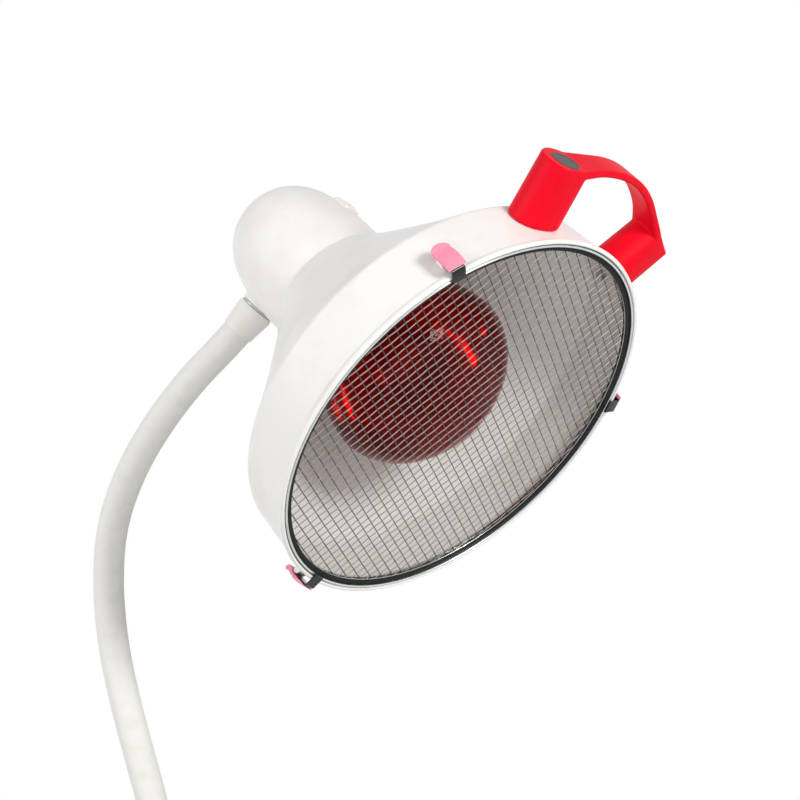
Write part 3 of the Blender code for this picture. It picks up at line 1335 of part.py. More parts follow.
def build_wiring(head):
    """The terminal block on the shoulder, and the leads to it from the arm, switch and holder."""
    back = -SHOULDER_DEPTH - GAP
    half = TERMINAL_LENGTH / 2
    low = (TERMINAL_RADIUS - TERMINAL_DEPTH / 2, -half, back - TERMINAL_HEIGHT)
    high = (TERMINAL_RADIUS + TERMINAL_DEPTH / 2, half, back)
    add_object("terminal_block", block("terminal_block", low, high), "grey_plastic", head)
    top = back - TERMINAL_HEIGHT - GAP
    clear = top - LEAD_RISE

    stud_end = BOSS_FACE - STUD_REACH
    start = -(stud_end - LEAD_RADIUS - GAP)
    finish = math.asin(LEAD_SPACING / LEAD_RING_RADIUS)
    route = []
    for k in range(LEAD_POINTS):
        share = k / (LEAD_POINTS - 1)
        angle = math.pi + (finish - math.pi) * share
        radius = -start + (LEAD_RING_RADIUS + start) * float(smoothstep(4 * share))
        height = -ARM_AXIS_DEPTH + (clear + ARM_AXIS_DEPTH) * float(smoothstep((share - 0.3) / 0.7))
        route.append((radius * math.cos(angle), radius * math.sin(angle), height))
    route.append((route[-1][0], route[-1][1], top))
    add_wire("supply_lead", route, LEAD_RADIUS, "brown_lead", head)

    switch_front = -ARM_AXIS_DEPTH + SWITCH_BODY_WIDTH / 2 + GAP
    route = []
    for k in range(LEAD_POINTS // 2 + 1):
        share = 2 * k / LEAD_POINTS
        bow = LEAD_BOW * math.sin(math.pi * share)
        route.append((LEAD_RING_RADIUS - bow, 0, top + (switch_front - top) * share))
    add_wire("switch_lead", route, LEAD_RADIUS, "brown_lead", head)

    rear = -HOLDER_FRONT_DEPTH - HOLDER_LENGTH - CONTACT_TAIL - GAP
    turn = rear - LEAD_REAR
    start_angle = -finish
    route = [(LEAD_RING_RADIUS * math.cos(finish), -LEAD_RING_RADIUS * math.sin(finish), top)]
    for k in range(LEAD_POINTS):
        share = k / (LEAD_POINTS - 1)
        angle = start_angle + (LEAD_NEUTRAL_TURN - start_angle) * float(smoothstep(2 * share))
        radius = LEAD_RING_RADIUS * float(1 - smoothstep((share - 0.5) / 0.4))
        height = clear + (turn - clear) * float(smoothstep(share / 0.75))
        height += (rear - turn) * float(smoothstep((share - 0.9) / 0.1))
        route.append((radius * math.cos(angle), radius * math.sin(angle), height))
    add_wire("neutral_lead", route, LEAD_RADIUS, "blue_lead", head)


def main():
    """Builds the lamp from its base to its head."""
    clear_scene()
    base = build_base()
    arm_end = build_arm(base)
    build_swivel(arm_end)
    head = joint_empty("head", HEAD_FRAME, arm_end)
    build_shade(head)
    build_grille(head)
    build_housing(head)
    build_switch(head)
    build_holder(head)
    build_bulb(head)
    build_handle(head)
    build_clips(head)
    build_wiring(head)


if __name__ == "__main__":
    main()
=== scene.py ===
"""Infrared heat therapy lamp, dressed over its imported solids.

Each sub-assembly is a class: its fields are its sizes and its methods make its meshes and give
them their finishes. Surfaces are worked out with numpy as lofts, which are rows of closed rings.

Metres, +Z up. The head has its own frame: z runs out of the mouth along the lamp's axis and is 0
in the plane of the guard's face, x points away from the arm, and y completes a right-handed set.
"""

import json
import logging
import math
from dataclasses import dataclass
from enum import Enum
from typing import Any, Sequence

import bmesh
import bpy
import numpy as np
from mathutils import Matrix, Vector

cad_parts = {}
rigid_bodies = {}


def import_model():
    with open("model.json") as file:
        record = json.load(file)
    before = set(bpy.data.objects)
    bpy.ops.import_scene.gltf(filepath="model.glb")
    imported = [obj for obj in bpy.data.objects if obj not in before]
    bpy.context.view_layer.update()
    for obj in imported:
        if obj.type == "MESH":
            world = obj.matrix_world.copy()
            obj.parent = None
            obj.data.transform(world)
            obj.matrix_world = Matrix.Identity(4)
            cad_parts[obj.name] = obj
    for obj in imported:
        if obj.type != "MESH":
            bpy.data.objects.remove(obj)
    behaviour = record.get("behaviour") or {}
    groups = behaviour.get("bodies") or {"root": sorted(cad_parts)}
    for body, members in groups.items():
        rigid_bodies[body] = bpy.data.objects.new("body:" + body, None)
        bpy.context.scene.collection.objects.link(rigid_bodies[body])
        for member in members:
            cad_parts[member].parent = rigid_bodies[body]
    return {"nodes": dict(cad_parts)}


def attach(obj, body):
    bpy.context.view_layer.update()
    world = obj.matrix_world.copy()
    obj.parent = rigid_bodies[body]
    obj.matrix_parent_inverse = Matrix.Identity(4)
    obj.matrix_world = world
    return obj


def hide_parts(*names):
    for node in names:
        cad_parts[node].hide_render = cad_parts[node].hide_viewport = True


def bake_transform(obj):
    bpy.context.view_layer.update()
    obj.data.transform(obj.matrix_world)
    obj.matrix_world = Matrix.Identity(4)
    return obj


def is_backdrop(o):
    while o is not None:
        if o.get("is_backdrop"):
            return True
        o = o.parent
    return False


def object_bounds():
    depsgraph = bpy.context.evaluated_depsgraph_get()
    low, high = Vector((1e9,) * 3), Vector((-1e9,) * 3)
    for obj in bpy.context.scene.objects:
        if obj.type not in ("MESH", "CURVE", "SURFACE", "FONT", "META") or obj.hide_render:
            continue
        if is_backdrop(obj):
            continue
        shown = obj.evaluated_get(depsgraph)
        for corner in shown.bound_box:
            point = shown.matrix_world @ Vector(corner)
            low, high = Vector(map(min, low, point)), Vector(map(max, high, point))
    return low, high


for leftover in list(bpy.data.objects):
    bpy.data.objects.remove(leftover, do_unlink=True)
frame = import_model()

MM = 0.001
LOG = logging.getLogger("lamp")
Points = np.ndarray
Surface = tuple[Points, list[Sequence[int]]]
Colour = tuple[float, float, float]


# ---------------------------------------------------------------- colours and node maths


def srgb(red: float, green: float, blue: float) -> Colour:
    """Turns a colour as a screen shows it into linear light.

    Args:
        red: Red, 0 to 255.
        green: Green, 0 to 255.
        blue: Blue, 0 to 255.

    Returns:
        The three linear values.
    """
    shares = np.array([red, green, blue]) / 255
    low = shares / 12.92
    high = ((shares + 0.055) / 1.055) ** 2.4
    return tuple(float(v) for v in np.where(shares <= 0.04045, low, high))


class Signal:
    """A number that varies over a surface; arithmetic on it adds Math nodes."""

    def __init__(self, recipe: "Recipe", socket: bpy.types.NodeSocket) -> None:
        """Wraps an output socket of the recipe's node tree."""
        self.recipe = recipe
        self.socket = socket

    def _joined(self, operation: str, first: Any, second: Any) -> "Signal":
        """Adds one Math node over two values."""
        node = self.recipe.node("ShaderNodeMath", {"operation": operation}, {0: first, 1: second})
        return Signal(self.recipe, node.outputs[0])

    def __add__(self, other: Any) -> "Signal":
        """The sum, also where a plain number stands first."""
        return self._joined("ADD", self, other)

    def __sub__(self, other: Any) -> "Signal":
        """The difference."""
        return self._joined("SUBTRACT", self, other)

    def __rsub__(self, other: Any) -> "Signal":
        """The difference from a plain number."""
        return self._joined("SUBTRACT", other, self)

    def __mul__(self, other: Any) -> "Signal":
        """The product, also where a plain number stands first."""
        return self._joined("MULTIPLY", self, other)

    __radd__ = __add__
    __rmul__ = __mul__

    def over(self, level: float) -> "Signal":
        """1 where the number is over a level, and 0 elsewhere."""
        return self._joined("GREATER_THAN", self, level)

    def eased(self, low: float, high: float) -> "Signal":
        """0 below low, 1 above high, and a smooth step between.

        Args:
            low: Where the step starts.
            high: Where it ends.

        Returns:
            The step as a signal.
        """
        node = self.recipe.node(
            "ShaderNodeMapRange",
            {"interpolation_type": "SMOOTHSTEP"},
            {"Value": self, "From Min": low, "From Max": high},
        )
        return Signal(self.recipe, node.outputs[0])


class Recipe:
    """A material, or the world's shading, under construction."""

    def __init__(self, name: str, world: bool = False) -> None:
        """Starts it with an empty tree.

        Args:
            name: Its name.
            world: Whether it shades the world, not a material.
        """
        self.owner = (bpy.data.worlds if world else bpy.data.materials).new(name)
        self.owner.use_nodes = True
        self.tree = self.owner.node_tree
        self.tree.nodes.clear()
        self.coordinates = self.node("ShaderNodeTexCoord").outputs
        self.place = self.coordinates["Object"]

    def node(
        self,
        kind: str,
        settings: dict[str, Any] | None = None,
        inputs: dict[Any, Any] | None = None,
    ) -> bpy.types.Node:
        """Adds a node.

        Args:
            kind: The node's type.
            settings: Its own settings.
            inputs: Values or links for its sockets, by name or number.

        Returns:
            The node.
        """
        made = self.tree.nodes.new(kind)
        for key, value in (settings or {}).items():
            setattr(made, key, value)
        for key, value in (inputs or {}).items():
            socket = made.inputs[key]
            if isinstance(value, Signal):
                self.tree.links.new(value.socket, socket)
            elif isinstance(value, bpy.types.NodeSocket):
                self.tree.links.new(value, socket)
            elif isinstance(value, tuple) and len(value) == 3 and len(socket.default_value) == 4:
                socket.default_value = (*value, 1.0)
            else:
                socket.default_value = value
        return made

    def noise(self, size: float, detail: float, stretch: Sequence[float] = (1, 1, 1)) -> Signal:
        """Noise over the object's own coordinates.

        Args:
            size: The size of its features, in metres.
            detail: How many finer layers it adds.
            stretch: How much finer it is along x, y and z.

        Returns:
            The noise, about 0.5 on average.
        """
        place = self.place
        if tuple(stretch) != (1, 1, 1):
            mapping = {"Vector": place, "Scale": tuple(stretch)}
            place = self.node("ShaderNodeMapping", None, mapping).outputs[0]
        inputs = {"Vector": place, "Scale": 1 / size, "Detail": detail}
        return Signal(self, self.node("ShaderNodeTexNoise", None, inputs).outputs["Fac"])

    def blend(self, share: Any, first: Any, second: Any) -> bpy.types.NodeSocket:
        """Mixes two colours.

        Args:
            share: How much of the second, a number or a signal.
            first: A colour or a colour socket.
            second: A colour or a colour socket.

        Returns:
            The mixed colour's socket.
        """
        inputs = {0: share, 6: first, 7: second}
        node = self.node("ShaderNodeMix", {"data_type": "RGBA"}, inputs)
        return node.outputs[2]

    def relief(self, height: Signal, depth: float, strength: float) -> bpy.types.NodeSocket:
        """A bumped normal.

        Args:
            height: The relief, 0 to 1.
            depth: What 1 stands for, in metres.
            strength: How much of it shows.

        Returns:
            The normal's socket.
        """
        inputs = {"Height": height, "Distance": depth, "Strength": strength}
        return self.node("ShaderNodeBump", None, inputs).outputs[0]

    def shown(self) -> Signal:
        """1 for rays that bring what they hit to the camera: direct, mirrored or through glass.

        Returns:
            The signal.
        """
        path = self.node("ShaderNodeLightPath").outputs
        direct, mirrored, through = (
            Signal(self, path[f"Is {kind} Ray"]) for kind in ("Camera", "Glossy", "Transmission")
        )
        return (direct + mirrored + through).over(0.5)

    def finished(self, shader: bpy.types.NodeSocket, kind: str = "Material") -> bpy.types.ID:
        """Links a shader to the output and gives the material or world."""
        self.node(f"ShaderNodeOutput{kind}", None, {"Surface": shader})
        return self.owner

    def principled(self, **inputs: Any) -> bpy.types.Material:
        """Ends the recipe with a Principled shader.

        Args:
            **inputs: Values or links for its sockets, with _ for a space in their names.

        Returns:
            The material.
        """
        named = {key.replace("_", " "): value for key, value in inputs.items()}
        shader = self.node("ShaderNodeBsdfPrincipled", None, named)
        return self.finished(shader.outputs[0])


# ---------------------------------------------------------------- finishes


class Grain(Enum):
    """How a moulded surface is textured."""

    SATIN = (0.35 * MM, 0.010 * MM)
    FINE = (0.6 * MM, 0.018 * MM)
    SOFT = (1.1 * MM, 0.030 * MM)


@dataclass(frozen=True)
class Enamel:
    """Baked white enamel: glossy, with a faint orange peel and a little dust in its tone."""

    colour: Colour
    aged: Colour
    roughness: float = 0.36
    coat: float = 0.15
    cloud_size: float = 38 * MM
    fine_size: float = 4 * MM
    peel_size: float = 2.6 * MM
    speck_size: float = 0.7 * MM
    peel_depth: float = 0.04 * MM

    def material(self, name: str) -> bpy.types.Material:
        """The finish as a material of that name.

        Args:
            name: The material's name.

        Returns:
            The material.
        """
        made = Recipe(name)
        cloud = made.noise(self.cloud_size, 3.0)
        fine = made.noise(self.fine_size, 2.0)
        tone = (cloud * 0.75 + fine * 0.25).eased(0.42, 0.72)
        peel = made.noise(self.peel_size, 1.0)
        speck = made.noise(self.speck_size, 0.0)
        return made.principled(
            Base_Color=made.blend(tone * 0.55, self.colour, self.aged),
            Roughness=self.roughness + (cloud - 0.5) * 0.16 + (speck - 0.5) * 0.06,
            Specular_IOR_Level=0.2,
            Coat_Weight=self.coat,
            Coat_Roughness=0.12,
            Coat_IOR=1.2,
            Normal=made.relief(peel * 0.8 + speck * 0.2, self.peel_depth, 0.2),
        )


@dataclass(frozen=True)
class Moulded:
    """Moulded plastic: even colour with a slight flow, and a fine grain from the mould."""

    colour: Colour
    flow: Colour
    roughness: float
    grain: Grain = Grain.FINE
    gloss: float = 0.2
    glow: float = 0.0
    glow_reach: tuple[float, float, float] = (2.4 * MM, 0.9 * MM, 0.7 * MM)
    swirl_size: float = 22 * MM
    wear_size: float = 6 * MM

    def material(self, name: str) -> bpy.types.Material:
        """The finish as a material of that name.

        Args:
            name: The material's name.

        Returns:
            The material.
        """
        made = Recipe(name)
        size, depth = self.grain.value
        swirl = made.noise(self.swirl_size, 4.0)
        grain = made.noise(size, 2.0)
        wear = made.noise(self.wear_size, 5.0).eased(0.62, 0.78)
        return made.principled(
            Base_Color=made.blend(swirl.eased(0.35, 0.75) * 0.6, self.colour, self.flow),
            Roughness=self.roughness + (grain - 0.5) * 0.12 + wear * 0.07,
            Subsurface_Weight=self.glow,
            Subsurface_Radius=self.glow_reach,
            Subsurface_Scale=1.0,
            Specular_IOR_Level=self.gloss,
            Normal=made.relief(grain, depth, 0.45),
        )


@dataclass(frozen=True)
class Sleeve:
    """The flexible arm's drawn sleeve: satin, with long faint draw marks and handling marks."""

    colour: Colour
    handled: Colour
    roughness: float = 0.46
    glow: float = 0.05
    glow_reach: tuple[float, float, float] = (1.2 * MM, 1.0 * MM, 0.8 * MM)
    mark_size: float = 9 * MM
    draw_size: float = 1.2 * MM
    draw_stretch: tuple[float, float, float] = (1.0, 1.0, 0.12)
    pit_size: float = 0.5 * MM
    depth: float = 0.03 * MM

    def material(self, name: str) -> bpy.types.Material:
        """The finish as a material of that name.

        Args:
            name: The material's name.

        Returns:
            The material.
        """
        made = Recipe(name)
        marks = made.noise(self.mark_size, 4.0)
        drawn = made.noise(self.draw_size, 2.0, self.draw_stretch)
        pits = made.noise(self.pit_size, 1.0)
        return made.principled(
            Base_Color=made.blend(marks.eased(0.45, 0.8) * 0.5, self.colour, self.handled),
            Roughness=self.roughness + (marks - 0.5) * 0.18,
            Subsurface_Weight=self.glow,
            Subsurface_Radius=self.glow_reach,
            Subsurface_Scale=1.0,
            Specular_IOR_Level=0.15,
            Normal=made.relief(drawn * 0.6 + pits * 0.4, self.depth, 0.4),
        )


@dataclass(frozen=True)
class Metal:
    """A worked metal: its colour with faint stains, and the marks of its working."""

    colour: Colour
    stain: Colour
    roughness: float
    marks: float = 0.8 * MM
    coat: float = 0.0
    stain_size: float = 7 * MM
    depth: float = 0.01 * MM

    def material(self, name: str) -> bpy.types.Material:
        """The finish as a material of that name.

        Args:
            name: The material's name.

        Returns:
            The material.
        """
        made = Recipe(name)
        stains = made.noise(self.stain_size, 5.0)
        drawn = made.noise(self.marks, 3.0)
        return made.principled(
            Base_Color=made.blend(stains.eased(0.5, 0.8) * 0.7, self.colour, self.stain),
            Metallic=1.0,
            Roughness=self.roughness + (drawn - 0.5) * 0.2 + (stains - 0.5) * 0.1,
            Coat_Weight=self.coat,
            Coat_Roughness=0.1,
            Normal=made.relief(drawn, self.depth, 0.3),
        )


@dataclass(frozen=True)
class RubyGlass:
    """Ruby-lacquered glass: deep red and clear, with a faint streak where the lacquer ran."""

    colour: Colour
    streak: Colour
    clear: float = 0.94
    bending: float = 1.17
    run_size: float = 11 * MM
    run_stretch: tuple[float, float, float] = (1.0, 1.0, 0.5)

    def material(self, name: str) -> bpy.types.Material:
        """The finish as a material of that name.

        Args:
            name: The material's name.

        Returns:
            The material.
        """
        made = Recipe(name)
        run = made.noise(self.run_size, 3.0, self.run_stretch)
        return made.principled(
            Base_Color=made.blend(run.eased(0.4, 0.75) * 0.6, self.colour, self.streak),
            Roughness=0.02 + run.eased(0.5, 0.9) * 0.03,
            IOR=self.bending,
            Transmission_Weight=self.clear,
        )


@dataclass(frozen=True)
class ClearGlass:
    """Plain pressed glass."""

    colour: Colour
    tint: Colour
    clear: float = 0.9
    bending: float = 1.5
    ripple_size: float = 5 * MM
    ripple_depth: float = 0.1 * MM

    def material(self, name: str) -> bpy.types.Material:
        """The finish as a material of that name.

        Args:
            name: The material's name.

        Returns:
            The material.
        """
        made = Recipe(name)
        ripple = made.noise(self.ripple_size, 2.0)
        return made.principled(
            Base_Color=made.blend(ripple * 0.2, self.colour, self.tint),
            Roughness=0.04 + ripple * 0.04,
            IOR=self.bending,
            Transmission_Weight=self.clear,
            Normal=made.relief(ripple, self.ripple_depth, 0.3),
        )


@dataclass(frozen=True)
class Glaze:
    """Glazed ceramic: a clear coat over a slightly mottled body."""

    colour: Colour
    fleck: Colour
    roughness: float = 0.3
    coat: float = 0.8
    fleck_size: float = 1.1 * MM
    wave_size: float = 8 * MM
    wave_depth: float = 0.08 * MM

    def material(self, name: str) -> bpy.types.Material:
        """The finish as a material of that name.

        Args:
            name: The material's name.

        Returns:
            The material.
        """
        made = Recipe(name)
        flecks = made.noise(self.fleck_size, 3.0).eased(0.6, 0.75)
        waves = made.noise(self.wave_size, 2.0)
        return made.principled(
            Base_Color=made.blend(flecks * 0.6, self.colour, self.fleck),
            Roughness=self.roughness + waves * 0.1,
            Coat_Weight=self.coat,
            Coat_Roughness=0.06,
            Normal=made.relief(waves, self.wave_depth, 0.3),
        )


@dataclass(frozen=True)
class Rubber:
    """Matte rubber or lead covering with a fine tooth."""

    colour: Colour
    bloom: Colour
    roughness: float = 0.62
    tooth_size: float = 0.5 * MM
    tooth_depth: float = 0.03 * MM
    dust_size: float = 5 * MM

    def material(self, name: str) -> bpy.types.Material:
        """The finish as a material of that name.

        Args:
            name: The material's name.

        Returns:
            The material.
        """
        made = Recipe(name)
        tooth = made.noise(self.tooth_size, 2.0)
        dust = made.noise(self.dust_size, 4.0).eased(0.5, 0.8)
        return made.principled(
            Base_Color=made.blend(dust * 0.5, self.colour, self.bloom),
            Roughness=self.roughness + (tooth - 0.5) * 0.2,
            Specular_IOR_Level=0.2,
            Normal=made.relief(tooth, self.tooth_depth, 0.5),
        )


WHITE_ENAMEL = Enamel(srgb(247, 245, 242), srgb(238, 233, 226))
WHITE_PLASTIC = Moulded(srgb(246, 243, 240), srgb(238, 234, 229), 0.36, Grain.SATIN)
ROCKER_PLASTIC = Moulded(srgb(250, 249, 246), srgb(243, 240, 235), 0.28, Grain.SATIN)
ARM_SLEEVE = Sleeve(srgb(240, 239, 234), srgb(228, 225, 216))
RED_PLASTIC = Moulded(srgb(240, 10, 38), srgb(226, 5, 32), 0.46, Grain.SOFT, gloss=0.08)
PINK_PLASTIC = Moulded(srgb(247, 154, 176), srgb(242, 134, 160), 0.4, Grain.FINE, glow=0.15)
GREY_PLASTIC = Moulded(srgb(92, 88, 86), srgb(80, 77, 75), 0.5, Grain.FINE, gloss=0.12)
BRIGHT_STEEL = Metal((0.60, 0.60, 0.61), (0.46, 0.455, 0.45), 0.22)
FRAME_STEEL = Metal((0.66, 0.69, 0.69), (0.50, 0.52, 0.52), 0.25)
# The net's two sets of wires are one steel in two tones: the warp darkened as painted shade, the
# weft lightened and tinted reddish as painted highlight.
WARP_STEEL_PAINTED_SHADE = Metal((0.075, 0.072, 0.068), (0.04, 0.038, 0.036), 0.34, marks=0.4 * MM)
WEFT_STEEL_PAINTED_HIGHLIGHT = Metal((0.54, 0.46, 0.43), (0.38, 0.31, 0.29), 0.3, marks=0.4 * MM)
SPRING_STEEL = Metal((0.022, 0.021, 0.021), (0.012, 0.012, 0.012), 0.24, coat=0.3)
MIRROR = Metal((0.93, 0.93, 0.93), (0.88, 0.88, 0.88), 0.12, marks=14 * MM)
BRASS = Metal((0.80, 0.60, 0.27), (0.55, 0.38, 0.16), 0.26)
TUNGSTEN = Metal((0.34, 0.33, 0.33), (0.22, 0.21, 0.21), 0.4)
RUBY = RubyGlass((0.43, 0.004, 0.008), (0.31, 0.002, 0.005))
STEM_GLASS = ClearGlass((0.9, 0.94, 0.93), (0.6, 0.66, 0.64))
CERAMIC = Glaze((0.86, 0.84, 0.79), (0.62, 0.57, 0.50))
# Black for the ring that makes the dark band inside the guard's bright bead.
BLACK_RIM_RING = Rubber((0.008, 0.009, 0.009), (0.02, 0.02, 0.02))
BROWN_LEAD = Rubber((0.17, 0.07, 0.03), (0.24, 0.12, 0.06), 0.45)
BLUE_LEAD = Rubber((0.03, 0.11, 0.42), (0.07, 0.17, 0.5), 0.45)


# ---------------------------------------------------------------- surfaces


def lofted(rings: Points, looped: bool = False) -> Surface:
    """Faces over rows of closed rings.

    The corner (row, side) of a face joins the next side round the ring and the next row. Open
    lofts get a flat face over their first and last ring.

    Args:
        rings: Points as (bodies, rows, sides, 3), or without the first axis for one body.
        looped: Whether the last row joins the first.

    Returns:
        The points in one list, and the faces as corner numbers.
    """
    stack = rings if rings.ndim == 4 else rings[None]
    bodies, rows, sides = stack.shape[:3]
    row = np.arange(rows if looped else rows - 1)[:, None]
    side = np.arange(sides)[None, :]
    after = (side + 1) % sides
    above = (row + 1) % rows
    corners = [row * sides + side, row * sides + after, above * sides + after, above * sides + side]
    quads = np.stack(corners, axis=-1).reshape(-1, 4)
    start = np.arange(bodies) * rows * sides
    faces = (quads[None] + start[:, None, None]).reshape(-1, 4).tolist()
    if not looped:
        faces += (start[:, None] + np.arange(sides)[::-1]).tolist()
        faces += (start[:, None] + (rows - 1) * sides + np.arange(sides)).tolist()
    return stack.reshape(-1, 3), faces


def joined(*surfaces: Surface) -> Surface:
    """Several surfaces as one list of points and one of faces.

    Args:
        *surfaces: Their points and faces.

    Returns:
        The one surface, in which each face keeps its own points.
    """
    points: list[Points] = []
    faces: list[Sequence[int]] = []
    count = 0
    for some, some_faces in surfaces:
        faces += [[corner + count for corner in face] for face in some_faces]
        points.append(some)
        count += len(some)
    return np.concatenate(points), faces


def placed(points: Points, matrix: Matrix) -> Points:
    """Points carried from a frame into the world."""
    turn = np.array(matrix, float)
    return points @ turn[:3, :3].T + turn[:3, 3]


def carried(surface: Surface, matrix: Matrix) -> Surface:
    """A surface carried from a frame into the world."""
    points, faces = surface
    return placed(points, matrix), faces


# What rounded() takes as nothing: an angle, an arc's whole turn and a distance in metres; and how
# much of a side one corner's arc may use.
SMALL_ANGLE = 1e-4
STRAIGHT_SWEEP = 1e-3
SAME_PLACE = 2e-7
SIDE_SHARE = 0.49


def rounded(
    outline: Sequence[Sequence[float]], radii: Any, closed: bool = True, steps: int = 6
) -> Points:
    """An outline with arcs at its corners.

    An arc of radius r touches both sides at r / tan(half the corner's angle) from the corner, cut
    down where a side is too short, and its points turn evenly from one touching point to the other
    about the centre that lies on the corner's bisector.

    Args:
        outline: The corners, in order.
        radii: One radius, or one for each corner.
        closed: Whether the last corner joins the first.
        steps: How many steps an arc takes.

    Returns:
        The outline's points; an open one keeps its two ends.
    """
    corner = np.array(outline, float)
    radius = np.broadcast_to(np.array(radii, float), (len(corner),)).copy()
    before = np.roll(corner, 1, axis=0) - corner
    after = np.roll(corner, -1, axis=0) - corner
    reach_before = np.linalg.norm(before, axis=1)
    reach_after = np.linalg.norm(after, axis=1)
    way_before = before / reach_before[:, None]
    way_after = after / reach_after[:, None]
    half = np.arccos(np.clip((way_before * way_after).sum(1), -1, 1)) / 2
    tangent = np.tan(np.maximum(half, SMALL_ANGLE))
    touch = np.minimum(radius / tangent, SIDE_SHARE * np.minimum(reach_before, reach_after))
    size = touch * tangent
    bisector = way_before + way_after
    length = np.linalg.norm(bisector, axis=1)
    straight = length < SMALL_ANGLE
    length[straight] = 1
    away = size / np.sin(np.maximum(half, SMALL_ANGLE))
    centre = corner + bisector / length[:, None] * away[:, None]
    first = corner + way_before * touch[:, None]
    last = corner + way_after * touch[:, None]
    sweep = np.pi - 2 * half
    share = np.linspace(0, 1, steps + 1)[None, :, None]
    wide = np.maximum(sweep, SMALL_ANGLE)[:, None, None]
    arc = np.sin((1 - share) * wide) * (first - centre)[:, None]
    arc = (arc + np.sin(share * wide) * (last - centre)[:, None]) / np.sin(wide)
    flat = first[:, None] + (last - first)[:, None] * share
    flat_ones = straight | (sweep < STRAIGHT_SWEEP)
    points = np.where(flat_ones[:, None, None], flat, centre[:, None] + arc)
    points[radius <= 0] = corner[radius <= 0][:, None]
    if not closed:
        points[0] = corner[0]
        points[-1] = corner[-1]
    run = points.reshape(-1, 2)
    gap = np.linalg.norm(run - np.roll(run, 1, axis=0), axis=1)
    keep = gap > SAME_PLACE
    if not closed:
        keep[0] = True
    return run[keep]


def shifted(path: Points, distance: float) -> Points:
    """An open path moved to the left of its run, with its corners mitred.

    Args:
        path: Its points.
        distance: How far it moves.

    Returns:
        The moved points.
    """
    runs = np.diff(path, axis=0)
    runs = runs / np.linalg.norm(runs, axis=1)[:, None]
    left = np.c_[-runs[:, 1], runs[:, 0]]
    first = np.vstack([left[:1], left])
    second = np.vstack([left, left[-1:]])
    return path + (first + second) / (1 + (first * second).sum(1))[:, None] * distance


def softened(path: Points, times: int) -> Points:
    """An open path with its corners cut off at a quarter of their sides, several times.

    Args:
        path: Its points.
        times: How many times.

    Returns:
        The eased points, with both ends kept.
    """
    for _ in range(times):
        near = path[:-1] * 0.75 + path[1:] * 0.25
        far = path[:-1] * 0.25 + path[1:] * 0.75
        middle = np.stack([near, far], axis=1).reshape(-1, path.shape[1])
        path = np.vstack([path[:1], middle[1:-1], path[-1:]])
    return path


def turned(profile: Points, sides: int) -> Points:
    """Rings of a profile turned about z: a point (r, h) becomes (r cos a, r sin a, h) all round.

    Args:
        profile: Its points (r, h).
        sides: Points in a ring.

    Returns:
        Points as (points of the profile, sides, 3).
    """
    angle = np.linspace(0, 2 * np.pi, sides, endpoint=False)
    across = profile[:, :1]
    height = np.broadcast_to(profile[:, 1:], (len(profile), sides))
    return np.stack([across * np.cos(angle), across * np.sin(angle), height], axis=-1)


def spun(profile: Points, sides: int, place: Matrix, looped: bool = True) -> Surface:
    """A profile turned about z, in the world.

    Args:
        profile: Its points (r, h).
        sides: Points in a ring.
        place: The frame that it is turned in.
        looped: Whether it closes on itself. An open one gets a flat face at each end.

    Returns:
        The surface.
    """
    return carried(lofted(turned(profile, sides), looped), place)


def rounded_square(half_x: Points, half_y: Points, corner: Points, sides: int) -> Points:
    """Rings in the form of a rectangle with round corners.

    The corner's centre is added to a circle, pushed to the quadrant that the angle lies in.

    Args:
        half_x: Half the width of each ring.
        half_y: Half the length of each ring.
        corner: The corner radius of each ring.
        sides: Points in a ring, a multiple of 4.

    Returns:
        Points as (rings, sides, 2).
    """
    quarter = sides // 4
    turn = np.linspace(0, np.pi / 2, quarter)
    angle = (np.arange(4)[:, None] * np.pi / 2 + turn[None, :]).reshape(-1)
    sign_x = np.repeat([1, -1, -1, 1], quarter)
    sign_y = np.repeat([1, 1, -1, -1], quarter)
    x = sign_x * (half_x - corner)[:, None] + corner[:, None] * np.cos(angle)
    y = sign_y * (half_y - corner)[:, None] + corner[:, None] * np.sin(angle)
    return np.stack([x, y], axis=-1)


def stacked(rings: Points, levels: Points, place: Matrix) -> Surface:
    """Flat rings lofted at their levels, in the world.

    Args:
        rings: Points as (rings, sides, 2).
        levels: The height of each point, or of each ring as a column.
        place: The frame that they lie in.

    Returns:
        The surface.
    """
    return carried(lofted(np.dstack([rings, np.broadcast_to(levels, rings.shape[:2])])), place)


def smoothstep(share: Points) -> Points:
    """0 to 1 with level ends."""
    held = np.clip(share, 0, 1)
    return held * held * (3 - 2 * held)


def new_object(name: str, data: bpy.types.ID) -> bpy.types.Object:
    """Puts an object with its data in the scene.

    Args:
        name: Its name.
        data: What it shows.

    Returns:
        The object.
    """
    item = bpy.data.objects.new(name, data)
    bpy.context.scene.collection.objects.link(item)
    return item


def new_mesh(name: str, surface: Surface, by_shell: bool = False) -> bpy.types.Mesh:
    """Makes a mesh whose faces look outwards.

    Args:
        name: Its name.
        surface: Its points and faces.
        by_shell: Whether each of its shells is turned by itself, not the whole at once.

    Returns:
        The mesh.
    """
    points, faces = surface
    mesh = bpy.data.meshes.new(name)
    mesh.from_pydata(points.tolist(), [], faces)
    edit = bmesh.new()
    edit.from_mesh(mesh)
    if by_shell:
        bmesh.ops.recalc_face_normals(edit, faces=edit.faces)
    elif edit.calc_volume(signed=True) < 0:
        bmesh.ops.reverse_faces(edit, faces=edit.faces)
    edit.to_mesh(mesh)
    edit.free()
    return mesh


